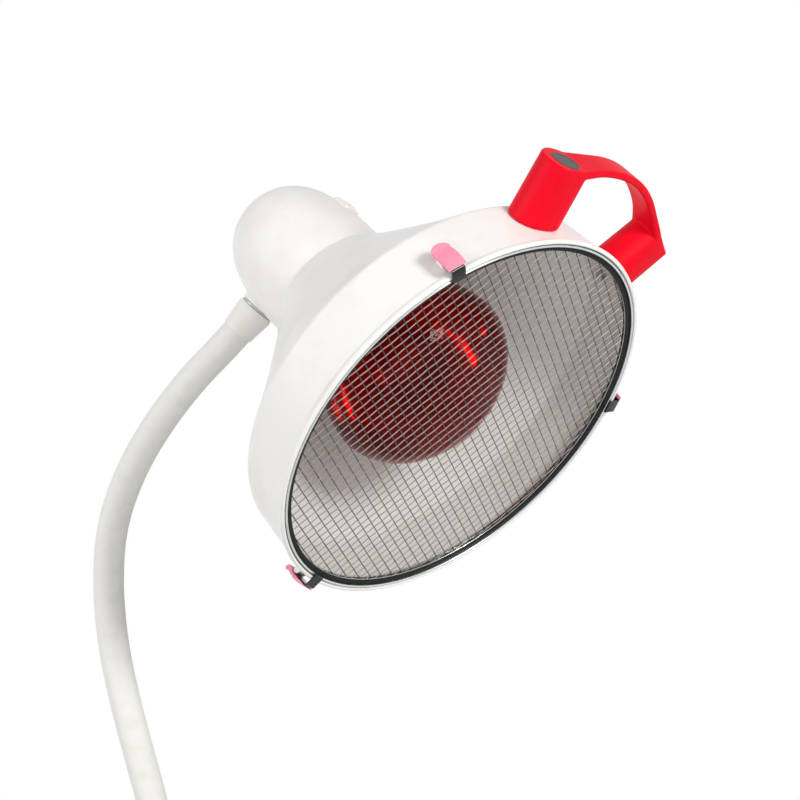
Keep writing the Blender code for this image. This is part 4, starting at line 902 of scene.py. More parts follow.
def add_piece(
    name: str,
    surface: Surface,
    finish: Any,
    body: str | None,
    stands_for: Sequence[str] = (),
    crease: float = 32.0,
) -> bpy.types.Object:
    """Makes a piece of the lamp.

    Args:
        name: The piece's name.
        surface: Its points in world metres, and its faces.
        finish: What it is finished in.
        body: The body that it rides on, or None to leave it on no body.
        stands_for: The solids that it replaces.
        crease: Edges sharper than this angle, in degrees, are drawn sharp.

    Returns:
        The object.
    """
    mesh = new_mesh(name, surface)
    mesh.shade_smooth()
    mesh.set_sharp_from_angle(angle=math.radians(crease))
    piece = new_object(name, mesh)
    mesh.materials.append(finish.material(name))
    if body is not None:
        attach(piece, body)
    if stands_for:
        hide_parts(*stands_for)
    LOG.info("%s: %d points, on %s", name, len(mesh.vertices), body or "two bodies")
    return piece


BEVEL_FROM = math.radians(40)


def bevelled(piece: bpy.types.Object, width: float, segments: int = 2) -> None:
    """Rounds a piece's sharp edges with a Bevel modifier.

    Args:
        piece: The piece.
        width: How far an edge is cut back, in metres.
        segments: Steps across the edge.
    """
    modifier = piece.modifiers.new("edges", "BEVEL")
    modifier.width = width
    modifier.segments = segments
    modifier.limit_method = "ANGLE"
    modifier.angle_limit = BEVEL_FROM


def dress(finish: Any, *nodes: str) -> None:
    """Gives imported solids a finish, in the slots that they have.

    Args:
        finish: What they are finished in.
        *nodes: Their names.
    """
    for name in nodes:
        solid = frame["nodes"][name]
        made = finish.material(f"{name}_finish")
        if not solid.material_slots:
            solid.data.materials.append(made)
        for place in solid.material_slots:
            place.material = made
        LOG.info("%s: finished as it is", name)


# ---------------------------------------------------------------- where the lamp stands


@dataclass(frozen=True)
class Stance:
    """The arm's path and the head's place, from the same sizes as the solids."""

    foot: float = 76.3 * MM
    length: float = 430 * MM
    bends: int = 8
    lean: float = math.radians(42.4)
    turn: float = math.radians(-26.0)
    face: float = 44.9 * MM
    ferrule_top: float = 46.7 * MM
    ferrule_bottom: float = 66.7 * MM
    axis_depth: float = 181 * MM
    steps: int = 1720
    lean_shares: tuple[tuple[float, float], ...] = (
        (0.0, 0.0), (0.105, -0.21), (0.198, -0.377), (0.302, -0.377), (0.395, -0.293),
        (0.488, -0.127), (0.581, 0.087), (0.674, 0.468), (0.767, 0.743), (0.86, 0.926),
        (0.942, 1.078), (1.0, 1.0),
    )

    def leans(self, stations: Points) -> Points:
        """How far the arm leans from the vertical at distances along it."""
        shares, parts = np.array(self.lean_shares).T
        return self.lean * np.interp(stations / self.length, shares, parts)

    def path(self, stations: Points) -> Points:
        """Points of the arm's middle line.

        Steps of 0.25 mm along the lean are summed, and the stations read between them; past
        either end the line runs on straight.

        Args:
            stations: Distances along the arm from the lower ferrule's mouth.

        Returns:
            The points, one for each station.
        """
        marks = np.linspace(0, self.length, self.steps + 1)
        lean = self.leans((marks[1:] + marks[:-1]) / 2)
        step = marks[1] - marks[0]
        x = np.r_[0, np.cumsum(np.sin(lean) * step)]
        z = self.foot + np.r_[0, np.cumsum(np.cos(lean) * step)]
        held = np.clip(stations, 0, self.length)
        over = stations - held
        end = self.leans(held)
        return np.stack(
            [
                np.interp(held, marks, x) + over * np.sin(end),
                np.zeros(len(stations)),
                np.interp(held, marks, z) + over * np.cos(end),
            ],
            axis=-1,
        )

    def swivel(self) -> Matrix:
        """The frame on the lamp's axis with its z along the arm's end."""
        point = self.path(np.array([self.length + self.ferrule_bottom]))[0]
        return Matrix.Translation(Vector(point)) @ Matrix.Rotation(self.lean, 4, "Y")

    def head(self) -> Matrix:
        """The head's frame.

        Returns:
            The frame.
        """
        axes = Matrix(((0, 0, 1, 0), (0, -1, 0, 0), (1, 0, 0, 0), (0, 0, 0, 1)))
        turned_swivel = self.swivel() @ Matrix.Rotation(self.turn, 4, "Z")
        return turned_swivel @ axes @ Matrix.Translation((0, 0, self.axis_depth))


STANCE = Stance()
HEAD = STANCE.head()
SWIVEL = STANCE.swivel()


def azimuth_frame(angle: float, radius: float = 0.0, height: float = 0.0) -> Matrix:
    """A frame in the head at an azimuth: x outwards, y along the rim, z along the lamp's axis."""
    return Matrix.Rotation(angle, 4, "Z") @ Matrix.Translation((radius, 0, height))


def lying_frame(angle: float, radius: float, height: float) -> Matrix:
    """A frame in the head whose z points outwards at an azimuth and whose x is the head's z."""
    stand = Matrix(((0, 0, 1, 0), (0, 1, 0, 0), (-1, 0, 0, 0), (0, 0, 0, 1)))
    return azimuth_frame(angle, radius, height) @ stand


# ---------------------------------------------------------------- base and arm


@dataclass
class Base:
    """The spigot and the lower ferrule, both turned, with the grub screw between them."""

    spigot_radius: float = 8.0 * MM
    spigot_length: float = 40.0 * MM
    flange_radius: float = 12.0 * MM
    flange: float = 4.0 * MM
    stud_radius: float = 4.6 * MM
    ferrule_radius: float = 13.2 * MM
    bore: float = 10.8 * MM
    floor: float = 6.0 * MM
    gap: float = 0.3 * MM
    axis: float = 0.2 * MM
    groove_share: float = 0.55
    groove_half: float = 2.2 * MM
    groove_depth: float = 0.5 * MM
    spigot_eases: tuple[float, ...] = (0, 1.0, 0.3, 0.2, 0.2, 0.3, 0.3, 0.6, 0.5, 0.2, 0.4, 0)
    ferrule_eases: tuple[float, ...] = (0.2, 1.8, 1.3, 0.5, 0.3, 0.2)
    sides: int = 96

    def spigot(self) -> None:
        """The bright pin that goes down into a stand, with a groove where a clamp screw bears."""
        top = self.spigot_length + self.flange
        tip = top + self.floor
        groove = self.spigot_length * self.groove_share
        neck = self.spigot_radius - self.groove_depth
        foot_half = self.groove_half - self.groove_depth
        outline = [
            (self.axis, 0),
            (self.spigot_radius, 0),
            (self.spigot_radius, groove - self.groove_half),
            (neck, groove - foot_half),
            (neck, groove + foot_half),
            (self.spigot_radius, groove + self.groove_half),
            (self.spigot_radius, self.spigot_length),
            (self.flange_radius, self.spigot_length),
            (self.flange_radius, top),
            (self.stud_radius, top),
            (self.stud_radius, tip),
            (self.axis, tip),
        ]
        profile = rounded(outline, np.array(self.spigot_eases) * MM, closed=False, steps=4)
        surface = spun(profile, self.sides, Matrix(), looped=False)
        add_piece("spigot_pin", surface, BRIGHT_STEEL, "base", ["spigot"])

    def ferrule(self) -> None:
        """The enamelled sleeve in which the arm ends, rounded at both ends."""
        low = self.spigot_length + self.flange + self.gap
        floor = low + self.floor
        hole = self.stud_radius + self.gap
        outline = [
            (hole, low),
            (self.ferrule_radius, low),
            (self.ferrule_radius, STANCE.foot),
            (self.bore, STANCE.foot),
            (self.bore, floor),
            (hole, floor),
        ]
        profile = rounded(outline, np.array(self.ferrule_eases) * MM)
        surface = spun(profile, self.sides, Matrix())
        add_piece(
            "ferrule_lower", surface, WHITE_ENAMEL, "base", ["lower_ferrule"]
        )

    def build(self) -> None:
        """Makes the base."""
        self.spigot()
        self.ferrule()
        dress(SPRING_STEEL, "grub_screw")


@dataclass
class Arm:
    """The flexible arm's sleeve, in lengths that follow the arm's curve through the joints."""

    radius: float = 10.35 * MM
    below: float = 25.4 * MM
    above: float = 13.4 * MM
    blend_reach: float = 20.0 * MM
    sides: int = 64
    rings: int = 34

    def length_of(self, low: float, high: float) -> Surface:
        """The sleeve between two stations: rings across the arm's middle line.

        A ring's point is the line's point plus r cos(a) across the bend and r sin(a) along y.

        Args:
            low: The first station.
            high: The last station.

        Returns:
            Its surface.
        """
        stations = np.linspace(low, high, self.rings)
        lean = STANCE.leans(np.clip(stations, 0, STANCE.length))
        across = np.stack([np.cos(lean), np.zeros(self.rings), -np.sin(lean)], axis=-1)
        angle = np.linspace(0, 2 * np.pi, self.sides, endpoint=False)
        side = np.stack([np.zeros(self.sides), np.sin(angle), np.zeros(self.sides)], axis=-1)
        ring = across[:, None] * np.cos(angle)[None, :, None] + side[None]
        return lofted(STANCE.path(stations)[:, None] + self.radius * ring)

    def build(self) -> None:
        """Makes the lengths, each with a joint in its middle."""
        step = STANCE.length / STANCE.bends
        finish = ARM_SLEEVE.material("arm_sleeve")
        for k in range(STANCE.bends):
            low = -self.below if k == 0 else k * step
            high = STANCE.length + self.above if k == STANCE.bends - 1 else (k + 1) * step
            nodes = [f"arm_section_{k + 1}"] + (["arm_foot"] if k == 0 else [])
            name = f"arm_sleeve_{k + 1}"
            piece = add_piece(name, self.length_of(low, high), ARM_SLEEVE, None, nodes)
            piece.data.materials[0] = finish
            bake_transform(piece)


@dataclass
class Swivel:
    """The upper ferrule and the steel washer on which the head turns."""

    radius: float = 13.0 * MM
    low_radius: float = 11.3 * MM
    bore: float = 10.8 * MM
    hole: float = 5.3 * MM
    floor: float = 6.0 * MM
    washer_radius: float = 11.6 * MM
    washer: float = 1.2 * MM
    gap: float = 0.3 * MM
    waist: float = 4.5 * MM
    waist_swell: float = 0.3 * MM
    shoulder: float = 3.0 * MM
    shoulder_draw: float = 0.8 * MM
    ferrule_eases: tuple[float, ...] = (0.2, 0.5, 9.0, 6.0, 0.6, 0.3, 0.2, 0.3)
    washer_ease: float = 0.25 * MM
    sides: int = 96

    def ferrule(self) -> None:
        """A sleeve that widens towards the head, from little more than the arm's own width."""
        top = -STANCE.ferrule_top
        low = -STANCE.ferrule_bottom
        outline = [
            (self.bore, low),
            (self.low_radius, low),
            (self.low_radius + self.waist_swell, low + self.waist),
            (self.radius, top - self.shoulder),
            (self.radius - self.shoulder_draw, top),
            (self.hole, top),
            (self.hole, top - self.floor),
            (self.bore, top - self.floor),
        ]
        surface = spun(rounded(outline, np.array(self.ferrule_eases) * MM), self.sides, SWIVEL)
        add_piece(
            "ferrule_upper", surface, WHITE_ENAMEL, "arm_8", ["upper_ferrule"]
        )

    def disc(self) -> None:
        """The thin washer that shows as a bright line against the housing."""
        high = -STANCE.face - self.gap
        low = high - self.washer
        outline = [
            (self.hole, low),
            (self.washer_radius, low),
            (self.washer_radius, high),
            (self.hole, high),
        ]
        surface = spun(rounded(outline, self.washer_ease, steps=4), self.sides, SWIVEL)
        add_piece("washer_upper", surface, BRIGHT_STEEL, "arm_8", ["swivel_washer"])

    def build(self) -> None:
        """Makes the swivel."""
        self.ferrule()
        self.disc()
        dress(BRIGHT_STEEL, "swivel_stud", "swivel_nut")


# ---------------------------------------------------------------- shade and guard


@dataclass
class Shade:
    """The spun shade: rolled lip, deep band, hollow cone and flat shoulder with its neck hole."""

    wall: float = 0.9 * MM
    front_radius: float = 133.0 * MM
    back_radius: float = 130.8 * MM
    band: float = 41.5 * MM
    shoulder_radius: float = 46.6 * MM
    shoulder_depth: float = 138.4 * MM
    neck_hole: float = 29.5 * MM
    lip_width: float = 2.6 * MM
    lip_front: float = 1.6 * MM
    lip_back: float = 3.2 * MM
    ledge_depth: float = 5.2 * MM
    ledge_thickness: float = 1.2 * MM
    ledge_width: float = 2.2 * MM
    sides: int = 224
    cone_shares: tuple[tuple[float, float], ...] = (
        (0.192, 0.215), (0.397, 0.430), (0.602, 0.638), (0.81, 0.842),
    )
    lip_shares: tuple[tuple[float, float], ...] = (
        (0.0, 0.8), (0.3, 1.0), (0.75, 0.83), (1.0, 0.1), (0.8, -1.1),
    )
    lip_eases: tuple[float, ...] = (0.5, 0.9, 1.0, 0.9, 0.8)
    outside_eases: tuple[float, ...] = (0.6, 6.0, 40, 40, 40, 40, 3.0, 0.2)
    inside_eases: tuple[float, ...] = (0.2, 2.4, 40, 40, 40, 40, 5.2)
    ledge_eases: tuple[float, ...] = (0.25, 0.25, 0.25, 0.25)

    def outside(self) -> Points:
        """The wall's outside as (radius, height), from the lip's foot to the neck hole.

        Returns:
            Its points.
        """
        along, across = np.array(self.cone_shares).T
        cone = np.c_[
            self.back_radius - (self.back_radius - self.shoulder_radius) * across,
            -self.band - (self.shoulder_depth - self.band) * along,
        ]
        back = -self.shoulder_depth
        ends = [(self.shoulder_radius, back), (self.neck_hole, back)]
        head = [(self.front_radius, -self.lip_back), (self.back_radius, -self.band)]
        return np.vstack([head, cone, ends])

    def profile(self) -> Points:
        """The whole wall: lip, outside, inside and ledge, with every corner eased.

        Returns:
            The closed outline.
        """
        outer = self.outside()
        inner = shifted(outer, -self.wall)
        root = self.front_radius - self.wall
        across, up = np.array(self.lip_shares).T
        lip = np.c_[root + self.lip_width * across, self.lip_front * up]
        back = -self.ledge_depth - self.ledge_thickness
        ledge = [
            (root, back),
            (root - self.ledge_width, back),
            (root - self.ledge_width, -self.ledge_depth),
            (root, -self.ledge_depth),
        ]
        outline = np.vstack([lip, outer, inner[:0:-1], ledge])
        eases = self.lip_eases + self.outside_eases + self.inside_eases + self.ledge_eases
        return rounded(outline, np.array(eases) * MM, steps=7)

    def build(self) -> None:
        """Makes the shade."""
        surface = spun(self.profile(), self.sides, HEAD)
        add_piece("shade_spun", surface, WHITE_ENAMEL, "head", ["shade"], crease=40)


@dataclass
class Guard:
    """The guard grille: a steel channel, the woven wire net held in it, its two sets of wires in
    painted shade and painted highlight, and a black ring on it.
    """

    outer: float = 131.4 * MM
    width: float = 5.0 * MM
    front: float = -1.1 * MM
    leg: float = 0.8 * MM
    web: float = 1.5 * MM
    back: float = -4.9 * MM
    net_thickness: float = 0.9 * MM
    gap: float = 0.3 * MM
    bead: float = 1.6 * MM
    bead_rise: float = 2.6 * MM
    crimp: float = 0.14 * MM
    ring_width: float = 3.3 * MM
    ring: float = 0.8 * MM
    pitch: float = 6.25 * MM
    wire: float = 0.35 * MM
    turn: float = math.radians(-17.0)
    channel_eases: tuple[float, ...] = (0.3, 0.35, 0.1, 0.9, 0.9, 0.3, 0.3, 0.2, 0.2, 0.2)
    ring_eases: tuple[float, ...] = (0.1, 0.1, 0.3, 2.0, 0.3)
    ring_shoulder: float = 0.8
    wire_sides: int = 6
    wire_rings: int = 4
    sides: int = 224

    def channel(self) -> None:
        """The steel channel round the net, with a bright bead rolled round its front edge."""
        inner = self.outer - self.width
        high = self.front - self.leg
        low = high - self.net_thickness - 2 * self.gap
        web = self.outer - self.web
        crest = self.front + self.bead_rise
        outline = [
            (inner, high),
            (inner, self.front),
            (self.outer - self.bead, self.front),
            (self.outer - self.bead, crest),
            (self.outer, crest),
            (self.outer, self.back),
            (inner, self.back),
            (inner, low),
            (web, low),
            (web, high),
        ]
        surface = spun(rounded(outline, np.array(self.channel_eases) * MM), self.sides, HEAD)
        add_piece(
            "guard_channel", surface, FRAME_STEEL, "head", ["grille_frame"]
        )

    def black_ring(self) -> None:
        """A black ring on the channel's face, a little crowned, which makes the dark band inside
        the bright bead.
        """
        low = self.front + self.gap / 3
        outer = self.outer - self.bead - self.gap / 3
        inner = outer - self.ring_width
        outline = [
            (inner, low),
            (outer, low),
            (outer, low + self.ring * self.ring_shoulder),
            ((outer + inner) / 2, low + self.ring),
            (inner, low + self.ring * self.ring_shoulder),
        ]
        profile = rounded(outline, np.array(self.ring_eases) * MM, steps=5)
        surface = spun(profile, self.sides, HEAD)
        add_piece(
            "guard_ring", surface, BLACK_RIM_RING, "head", ["grille_gasket"]
        )

    def wires(self, across: bool) -> Points:
        """One set of the net's wires, which run over and under the other set.

        A wire at a distance d from the middle runs the chord 2 sqrt(R^2 - d^2). Its height is
        c cos(pi s / pitch), turned over for each second wire, where s is the way along it.

        Args:
            across: Whether this is the set that runs along y.

        Returns:
            Points as (wires, rings, sides, 3), in the net's frame.
        """
        reach = self.outer - self.web - self.gap
        count = int(reach / self.pitch)
        order = np.arange(-count, count + 1)
        place = order * self.pitch
        half = np.sqrt(reach**2 - place**2)
        rows = 2 * count * self.wire_rings + 1
        way = np.linspace(-1, 1, rows)[None, :] * half[:, None]
        flip = np.where((order % 2 == 0) == across, 1.0, -1.0)[:, None]
        height = flip * self.crimp * np.cos(np.pi * way / self.pitch)
        slope = -flip * self.crimp * np.pi / self.pitch * np.sin(np.pi * way / self.pitch)
        angle = np.linspace(0, 2 * np.pi, self.wire_sides, endpoint=False)
        side = self.wire * np.cos(angle)
        up = self.wire * np.sin(angle)
        along = way[..., None] - slope[..., None] * up
        beside = np.broadcast_to(place[:, None, None] + side, along.shape)
        level = height[..., None] + np.broadcast_to(up, along.shape)
        parts = [beside, along, level] if across else [along, beside, level]
        return np.stack(parts, axis=-1)

    def net(self) -> None:
        """The woven net, at the angle at which it stands in the shade; one set of wires is finished
        dark as painted shade, the other pale and reddish as painted highlight.
        """
        middle = self.front - self.leg - self.net_thickness / 2 - self.gap
        place = HEAD @ Matrix.Translation((0, 0, middle)) @ Matrix.Rotation(self.turn, 4, "Z")
        warp_painted_shade = carried(lofted(self.wires(True)), place)
        weft_painted_highlight = carried(lofted(self.wires(False)), place)
        slot = "grille_mesh"
        add_piece("guard_warp_painted_shade", warp_painted_shade, WARP_STEEL_PAINTED_SHADE, "head", [slot], crease=70)
        add_piece("guard_weft_painted_highlight", weft_painted_highlight, WEFT_STEEL_PAINTED_HIGHLIGHT, "head", crease=70)

    def build(self) -> None:
        """Makes the guard."""
        self.channel()
        self.black_ring()
        self.net()


# ---------------------------------------------------------------- housing and switch

SLOT_HOUSING = "rear_housing"


@dataclass
class Housing:
    """The rear housing: a thin domed shell, a boss for the arm and a pad for the switch."""

    radius: float = 45.2 * MM
    wall: float = 2.0 * MM
    front: float = -138.7 * MM
    barrel: float = 11.5 * MM
    dome: float = 79.5 * MM
    power: float = 2.84
    dome_steps: int = 40
    dome_crowding: float = 0.9
    dome_hole: float = 0.02
    edge: float = 0.5 * MM
    axis: float = 0.3 * MM
    boss_radius: float = 12.6 * MM
    boss_depth: float = 5.2 * MM
    boss_flare: float = 1.6 * MM
    boss_swell: float = 0.2 * MM
    boss_rim: float = 1.2 * MM
    boss_eases: tuple[float, ...] = (0, 0.2, 2.0, 0.6, 0)
    boss_sides: int = 96
    pad_width: float = 6.6 * MM
    pad_length: float = 8.6 * MM
    pad_top: float = 44.6 * MM
    pad_corner: float = 2.2 * MM
    pad_insets: tuple[float, ...] = (-0.6, 0.0, 0.08, 0.3, 0.7)
    pad_levels: tuple[float, ...] = (-3.6, -0.9, -0.35, -0.08, 0.0)
    pad_sides: int = 64
    sides: int = 160

    def dome_points(self, radius: float, dome: float) -> Points:
        """The dome from its edge to its top: (|x|/r)^p + (|z|/h)^p = 1, read at given angles.

        The angles crowd a little towards the edge and end just short of the axis.

        Args:
            radius: Its radius r at the edge.
            dome: Its height h.

        Returns:
            Its points (radius, height).
        """
        reach = np.pi / 2 - self.dome_hole
        angle = np.linspace(0, 1, self.dome_steps) ** self.dome_crowding * reach
        power = 2 / self.power
        across = radius * np.cos(angle) ** power
        rise = dome * np.sin(angle) ** power
        return np.c_[across, self.front - self.barrel - rise]

    def shell(self) -> None:
        """The shell, from the top of its inside round its front edge to the top of its outside."""
        hollow = self.radius - self.wall
        inner = self.dome_points(hollow, self.dome - self.wall)
        outer = self.dome_points(self.radius, self.dome)
        edge = [
            (hollow, self.front),
            (self.radius - self.edge, self.front),
            (self.radius, self.front - self.edge),
        ]
        surface = spun(np.vstack([inner[::-1], edge, outer]), self.sides, HEAD, looped=False)
        add_piece("housing_shell", surface, WHITE_PLASTIC, "head", [SLOT_HOUSING])

    def boss(self) -> None:
        """The flat boss on which the arm's washer bears, flared into the shell."""
        top = STANCE.face
        foot = top - self.boss_depth
        outline = [
            (self.axis, foot),
            (self.boss_radius + self.boss_flare, foot),
            (self.boss_radius + self.boss_swell, top - self.boss_rim),
            (self.boss_radius, top),
            (self.axis, top),
        ]
        profile = rounded(outline, np.array(self.boss_eases) * MM, closed=False)
        place = HEAD @ lying_frame(math.pi, 0, -STANCE.axis_depth)
        surface = spun(profile, self.boss_sides, place, looped=False)
        add_piece("housing_boss", surface, WHITE_PLASTIC, "head")

    def pad(self) -> None:
        """The raised pad under the switch: rounded rectangles, shrinking at the top edge."""
        inset = np.array(self.pad_insets) * MM
        level = np.array(self.pad_levels) * MM + self.pad_top
        corner = np.full(len(inset), self.pad_corner) - inset * 0.5
        sizes = (self.pad_width - inset, self.pad_length - inset)
        ring = rounded_square(*sizes, corner, self.pad_sides)
        place = HEAD @ lying_frame(0, 0, -STANCE.axis_depth)
        surface = stacked(ring, level[:, None], place)
        add_piece("housing_pad", surface, WHITE_PLASTIC, "head")

    def build(self) -> None:
        """Makes the housing and finishes its screws."""
        self.shell()
        self.boss()
        self.pad()
        dress(BRIGHT_STEEL, *(f"housing_screw_{k}" for k in range(1, 5)))


@dataclass
class Switch:
    """The rocker switch: a body with a rounded bezel, and a dished rocker in its pocket."""

    half_width: float = 5.9 * MM
    half_length: float = 7.8 * MM
    bezel: float = 1.0 * MM
    seat: float = 44.65 * MM
    pocket_width: float = 4.3 * MM
    pocket_length: float = 6.5 * MM
    pocket: float = 5.6 * MM
    pivot_drop: float = 2.8 * MM
    dish: float = 1.0 * MM
    rocker_length: float = 5.8 * MM
    rocker_gap: float = 0.3 * MM
    rocker_corner: float = 0.5 * MM
    throw: float = math.radians(7.0)
    bezel_shares: tuple[float, ...] = (0, 0, 0.06, 0.2, 0.45, 0.9, 0.98, 1.0, 1.0)
    bezel_drops: tuple[float, ...] = (0.5, 0.15, 0, 0, 0, 0.15, 0.5)
    bezel_corners: tuple[float, ...] = (1.8, 1.8, 1.8, 1.7, 1.5, 0.9, 0.7, 0.6, 0.6)
    rocker_insets: tuple[float, ...] = (2.2, 0.0, 0.0, 0.0, 0.1, 0.35, 0.8, 2.2, 3.6)
    rocker_levels: tuple[float, ...] = (-4.0, 0.4, 1.2, 2.6, 3.1, 3.4, 3.5, 3.5, 3.5)
    rocker_dishing: tuple[float, ...] = (0, 0, 0, 0.7, 0.9, 1, 1, 1, 1)
    sides: int = 64

    def frame_of(self) -> Matrix:
        """The switch's frame: z outwards, x along the lamp's axis."""
        return HEAD @ lying_frame(0, 0, -STANCE.axis_depth)

    def body(self) -> None:
        """Bezel and pocket: rounded rectangles over the edge, down the pocket and to its floor."""
        top = self.seat + self.bezel
        wide = self.half_width - self.pocket_width
        long = self.half_length - self.pocket_length
        deep = top - self.pivot_drop - self.pocket
        share = np.array(self.bezel_shares)
        level = np.r_[self.seat, top - np.array(self.bezel_drops) * MM, deep]
        sizes = (self.half_width - share * wide, self.half_length - share * long)
        ring = rounded_square(*sizes, np.array(self.bezel_corners) * MM, self.sides)
        surface = stacked(ring, level[:, None], self.frame_of())
        add_piece(
            "switch_bezel", surface, WHITE_PLASTIC, "head", ["switch_body"]
        )

    def rocker(self) -> None:
        """The rocker: its top sinks by dish (1 - (y / l)^2), and its edges are eased."""
        half = self.pocket_width - self.rocker_gap
        inset = np.array(self.rocker_insets) * MM
        level = np.array(self.rocker_levels) * MM
        dished = np.array(self.rocker_dishing)
        corner = np.full(len(inset), self.rocker_corner)
        ring = rounded_square(half - inset, self.rocker_length - inset, corner, self.sides)
        away = np.clip(np.abs(ring[..., 1]) / self.rocker_length, 0, 1)
        height = level[:, None] - dished[:, None] * self.dish * (1 - away**2)
        pivot = Matrix.Translation((0, 0, self.seat + self.bezel - self.pivot_drop))
        place = self.frame_of() @ pivot @ Matrix.Rotation(-self.throw, 4, "X")
        surface = stacked(ring, height, place)
        slot = "switch_rocker"
        add_piece("switch_key", surface, ROCKER_PLASTIC, "rocker", [slot], crease=50)

    def build(self) -> None:
        """Makes the switch."""
        self.body()
        self.rocker()


# ---------------------------------------------------------------- bulb


@dataclass
class Bulb:
    """The reflector bulb: ruby glass over a silvered cone, with its cap, stem and filament."""

    radius: float = 62.5 * MM
    wall: float = 1.0 * MM
    front: float = 5.0 * MM
    dome: float = 46.2 * MM
    body: float = 102.0 * MM
    neck: float = 12.9 * MM
    tail_radius: float = 12.2 * MM
    tail: float = 7.0 * MM
    cap_radius: float = 13.3 * MM
    cap_length: float = 25.5 * MM
    cap_nose: float = 4.0 * MM
    nose_radius: float = 8.0 * MM
    thread_pitch: float = 3.63 * MM
    thread_depth: float = 0.55 * MM
    thread_fade_in: float = 3.0 * MM
    thread_fade_out: float = 2.0 * MM
    nose_flat: float = 0.4 * MM
    nose_ease: float = 1.2 * MM
    axis: float = 0.3 * MM
    pole: float = 0.006
    front_steps: int = 30
    front_foot: float = 0.06
    mirror_gap: float = 0.15 * MM
    mirror_thickness: float = 0.2 * MM
    mirror_stop: int = 6
    skirt_rows: int = 60
    cap_sides: int = 96
    sides: int = 128
    body_shares: tuple[tuple[float, float], ...] = (
        (0.0, 1.0), (0.16, 0.955), (0.33, 0.82), (0.50, 0.64), (0.66, 0.46), (0.80, 0.33),
        (0.91, 0.25),
    )

    def outside(self) -> Points:
        """The glass as (radius, height): an ellipse over the front, then the body's eased run.

        Returns:
            Its points.
        """
        widest = -self.front - self.dome
        angle = np.linspace(np.pi / 2 - self.pole, self.front_foot, self.front_steps)
        front = np.c_[self.radius * np.cos(angle), widest + self.dome * np.sin(angle)]
        along, across = np.array(self.body_shares).T
        neck = widest - self.body
        rest = np.c_[self.radius * across, widest - self.body * along]
        tail = [
            (self.neck, neck + self.tail / 2),
            (self.tail_radius, neck),
            (self.tail_radius, neck - self.tail),
        ]
        return np.vstack([front, softened(np.vstack([rest, tail]), 3)[1:]])

    def glass(self) -> None:
        """The glass with its inner and outer face."""
        outer = self.outside()
        inner = shifted(outer, -self.wall)
        inner[:, 0] = np.maximum(inner[:, 0], self.axis)
        surface = spun(np.vstack([inner, outer[::-1]]), self.sides, HEAD, looped=False)
        add_piece("bulb_envelope", surface, RUBY, "head", ["bulb_glass"])

    def mirror(self) -> None:
        """The silvering, a thin shell just inside the body's glass."""
        run = self.outside()[self.front_steps : -self.mirror_stop]
        start = -self.wall - self.mirror_gap
        near = shifted(run, start)
        far = shifted(run, start - self.mirror_thickness)
        surface = spun(np.vstack([near, far[::-1]]), self.sides, HEAD)
        add_piece("bulb_silvering", surface, MIRROR, "head")

    def cap(self) -> None:
        """The screw cap: its skirt's radius swells and sinks as sin^2 of the thread's phase."""
        start = -self.front - self.dome - self.body
        height = np.linspace(0, self.cap_length, self.skirt_rows)
        angle = np.linspace(0, 2 * np.pi, self.cap_sides, endpoint=False)
        phase = np.pi * height[:, None] / self.thread_pitch - angle[None, :] / 2
        fade_in = smoothstep(height / self.thread_fade_in)
        fade = fade_in * smoothstep((self.cap_length - height) / self.thread_fade_out)
        radius = self.cap_radius - self.thread_depth * fade[:, None] * np.sin(phase) ** 2
        level = np.broadcast_to((start - height)[:, None], radius.shape)
        skirt = np.stack([radius * np.cos(angle), radius * np.sin(angle), level], axis=-1)
        end = start - self.cap_length
        tip = end - self.cap_nose
        outline = [(self.cap_radius, end), (self.nose_radius, tip), (self.nose_flat, tip)]
        nose = rounded(outline, np.array([0, self.nose_ease, 0]), closed=False)[1:]
        rings = np.concatenate([skirt, turned(nose, self.cap_sides)])
        surface = carried(lofted(rings), HEAD)
        add_piece("bulb_screw_cap", surface, BRASS, "head", ["bulb_cap"], crease=60)

    def build(self) -> None:
        """Makes the bulb and finishes what stands in it."""
        self.glass()
        self.mirror()
        self.cap()
        dress(STEM_GLASS, "bulb_stem")
        dress(TUNGSTEN, "filament", "bulb_contact")


# ---------------------------------------------------------------- handle


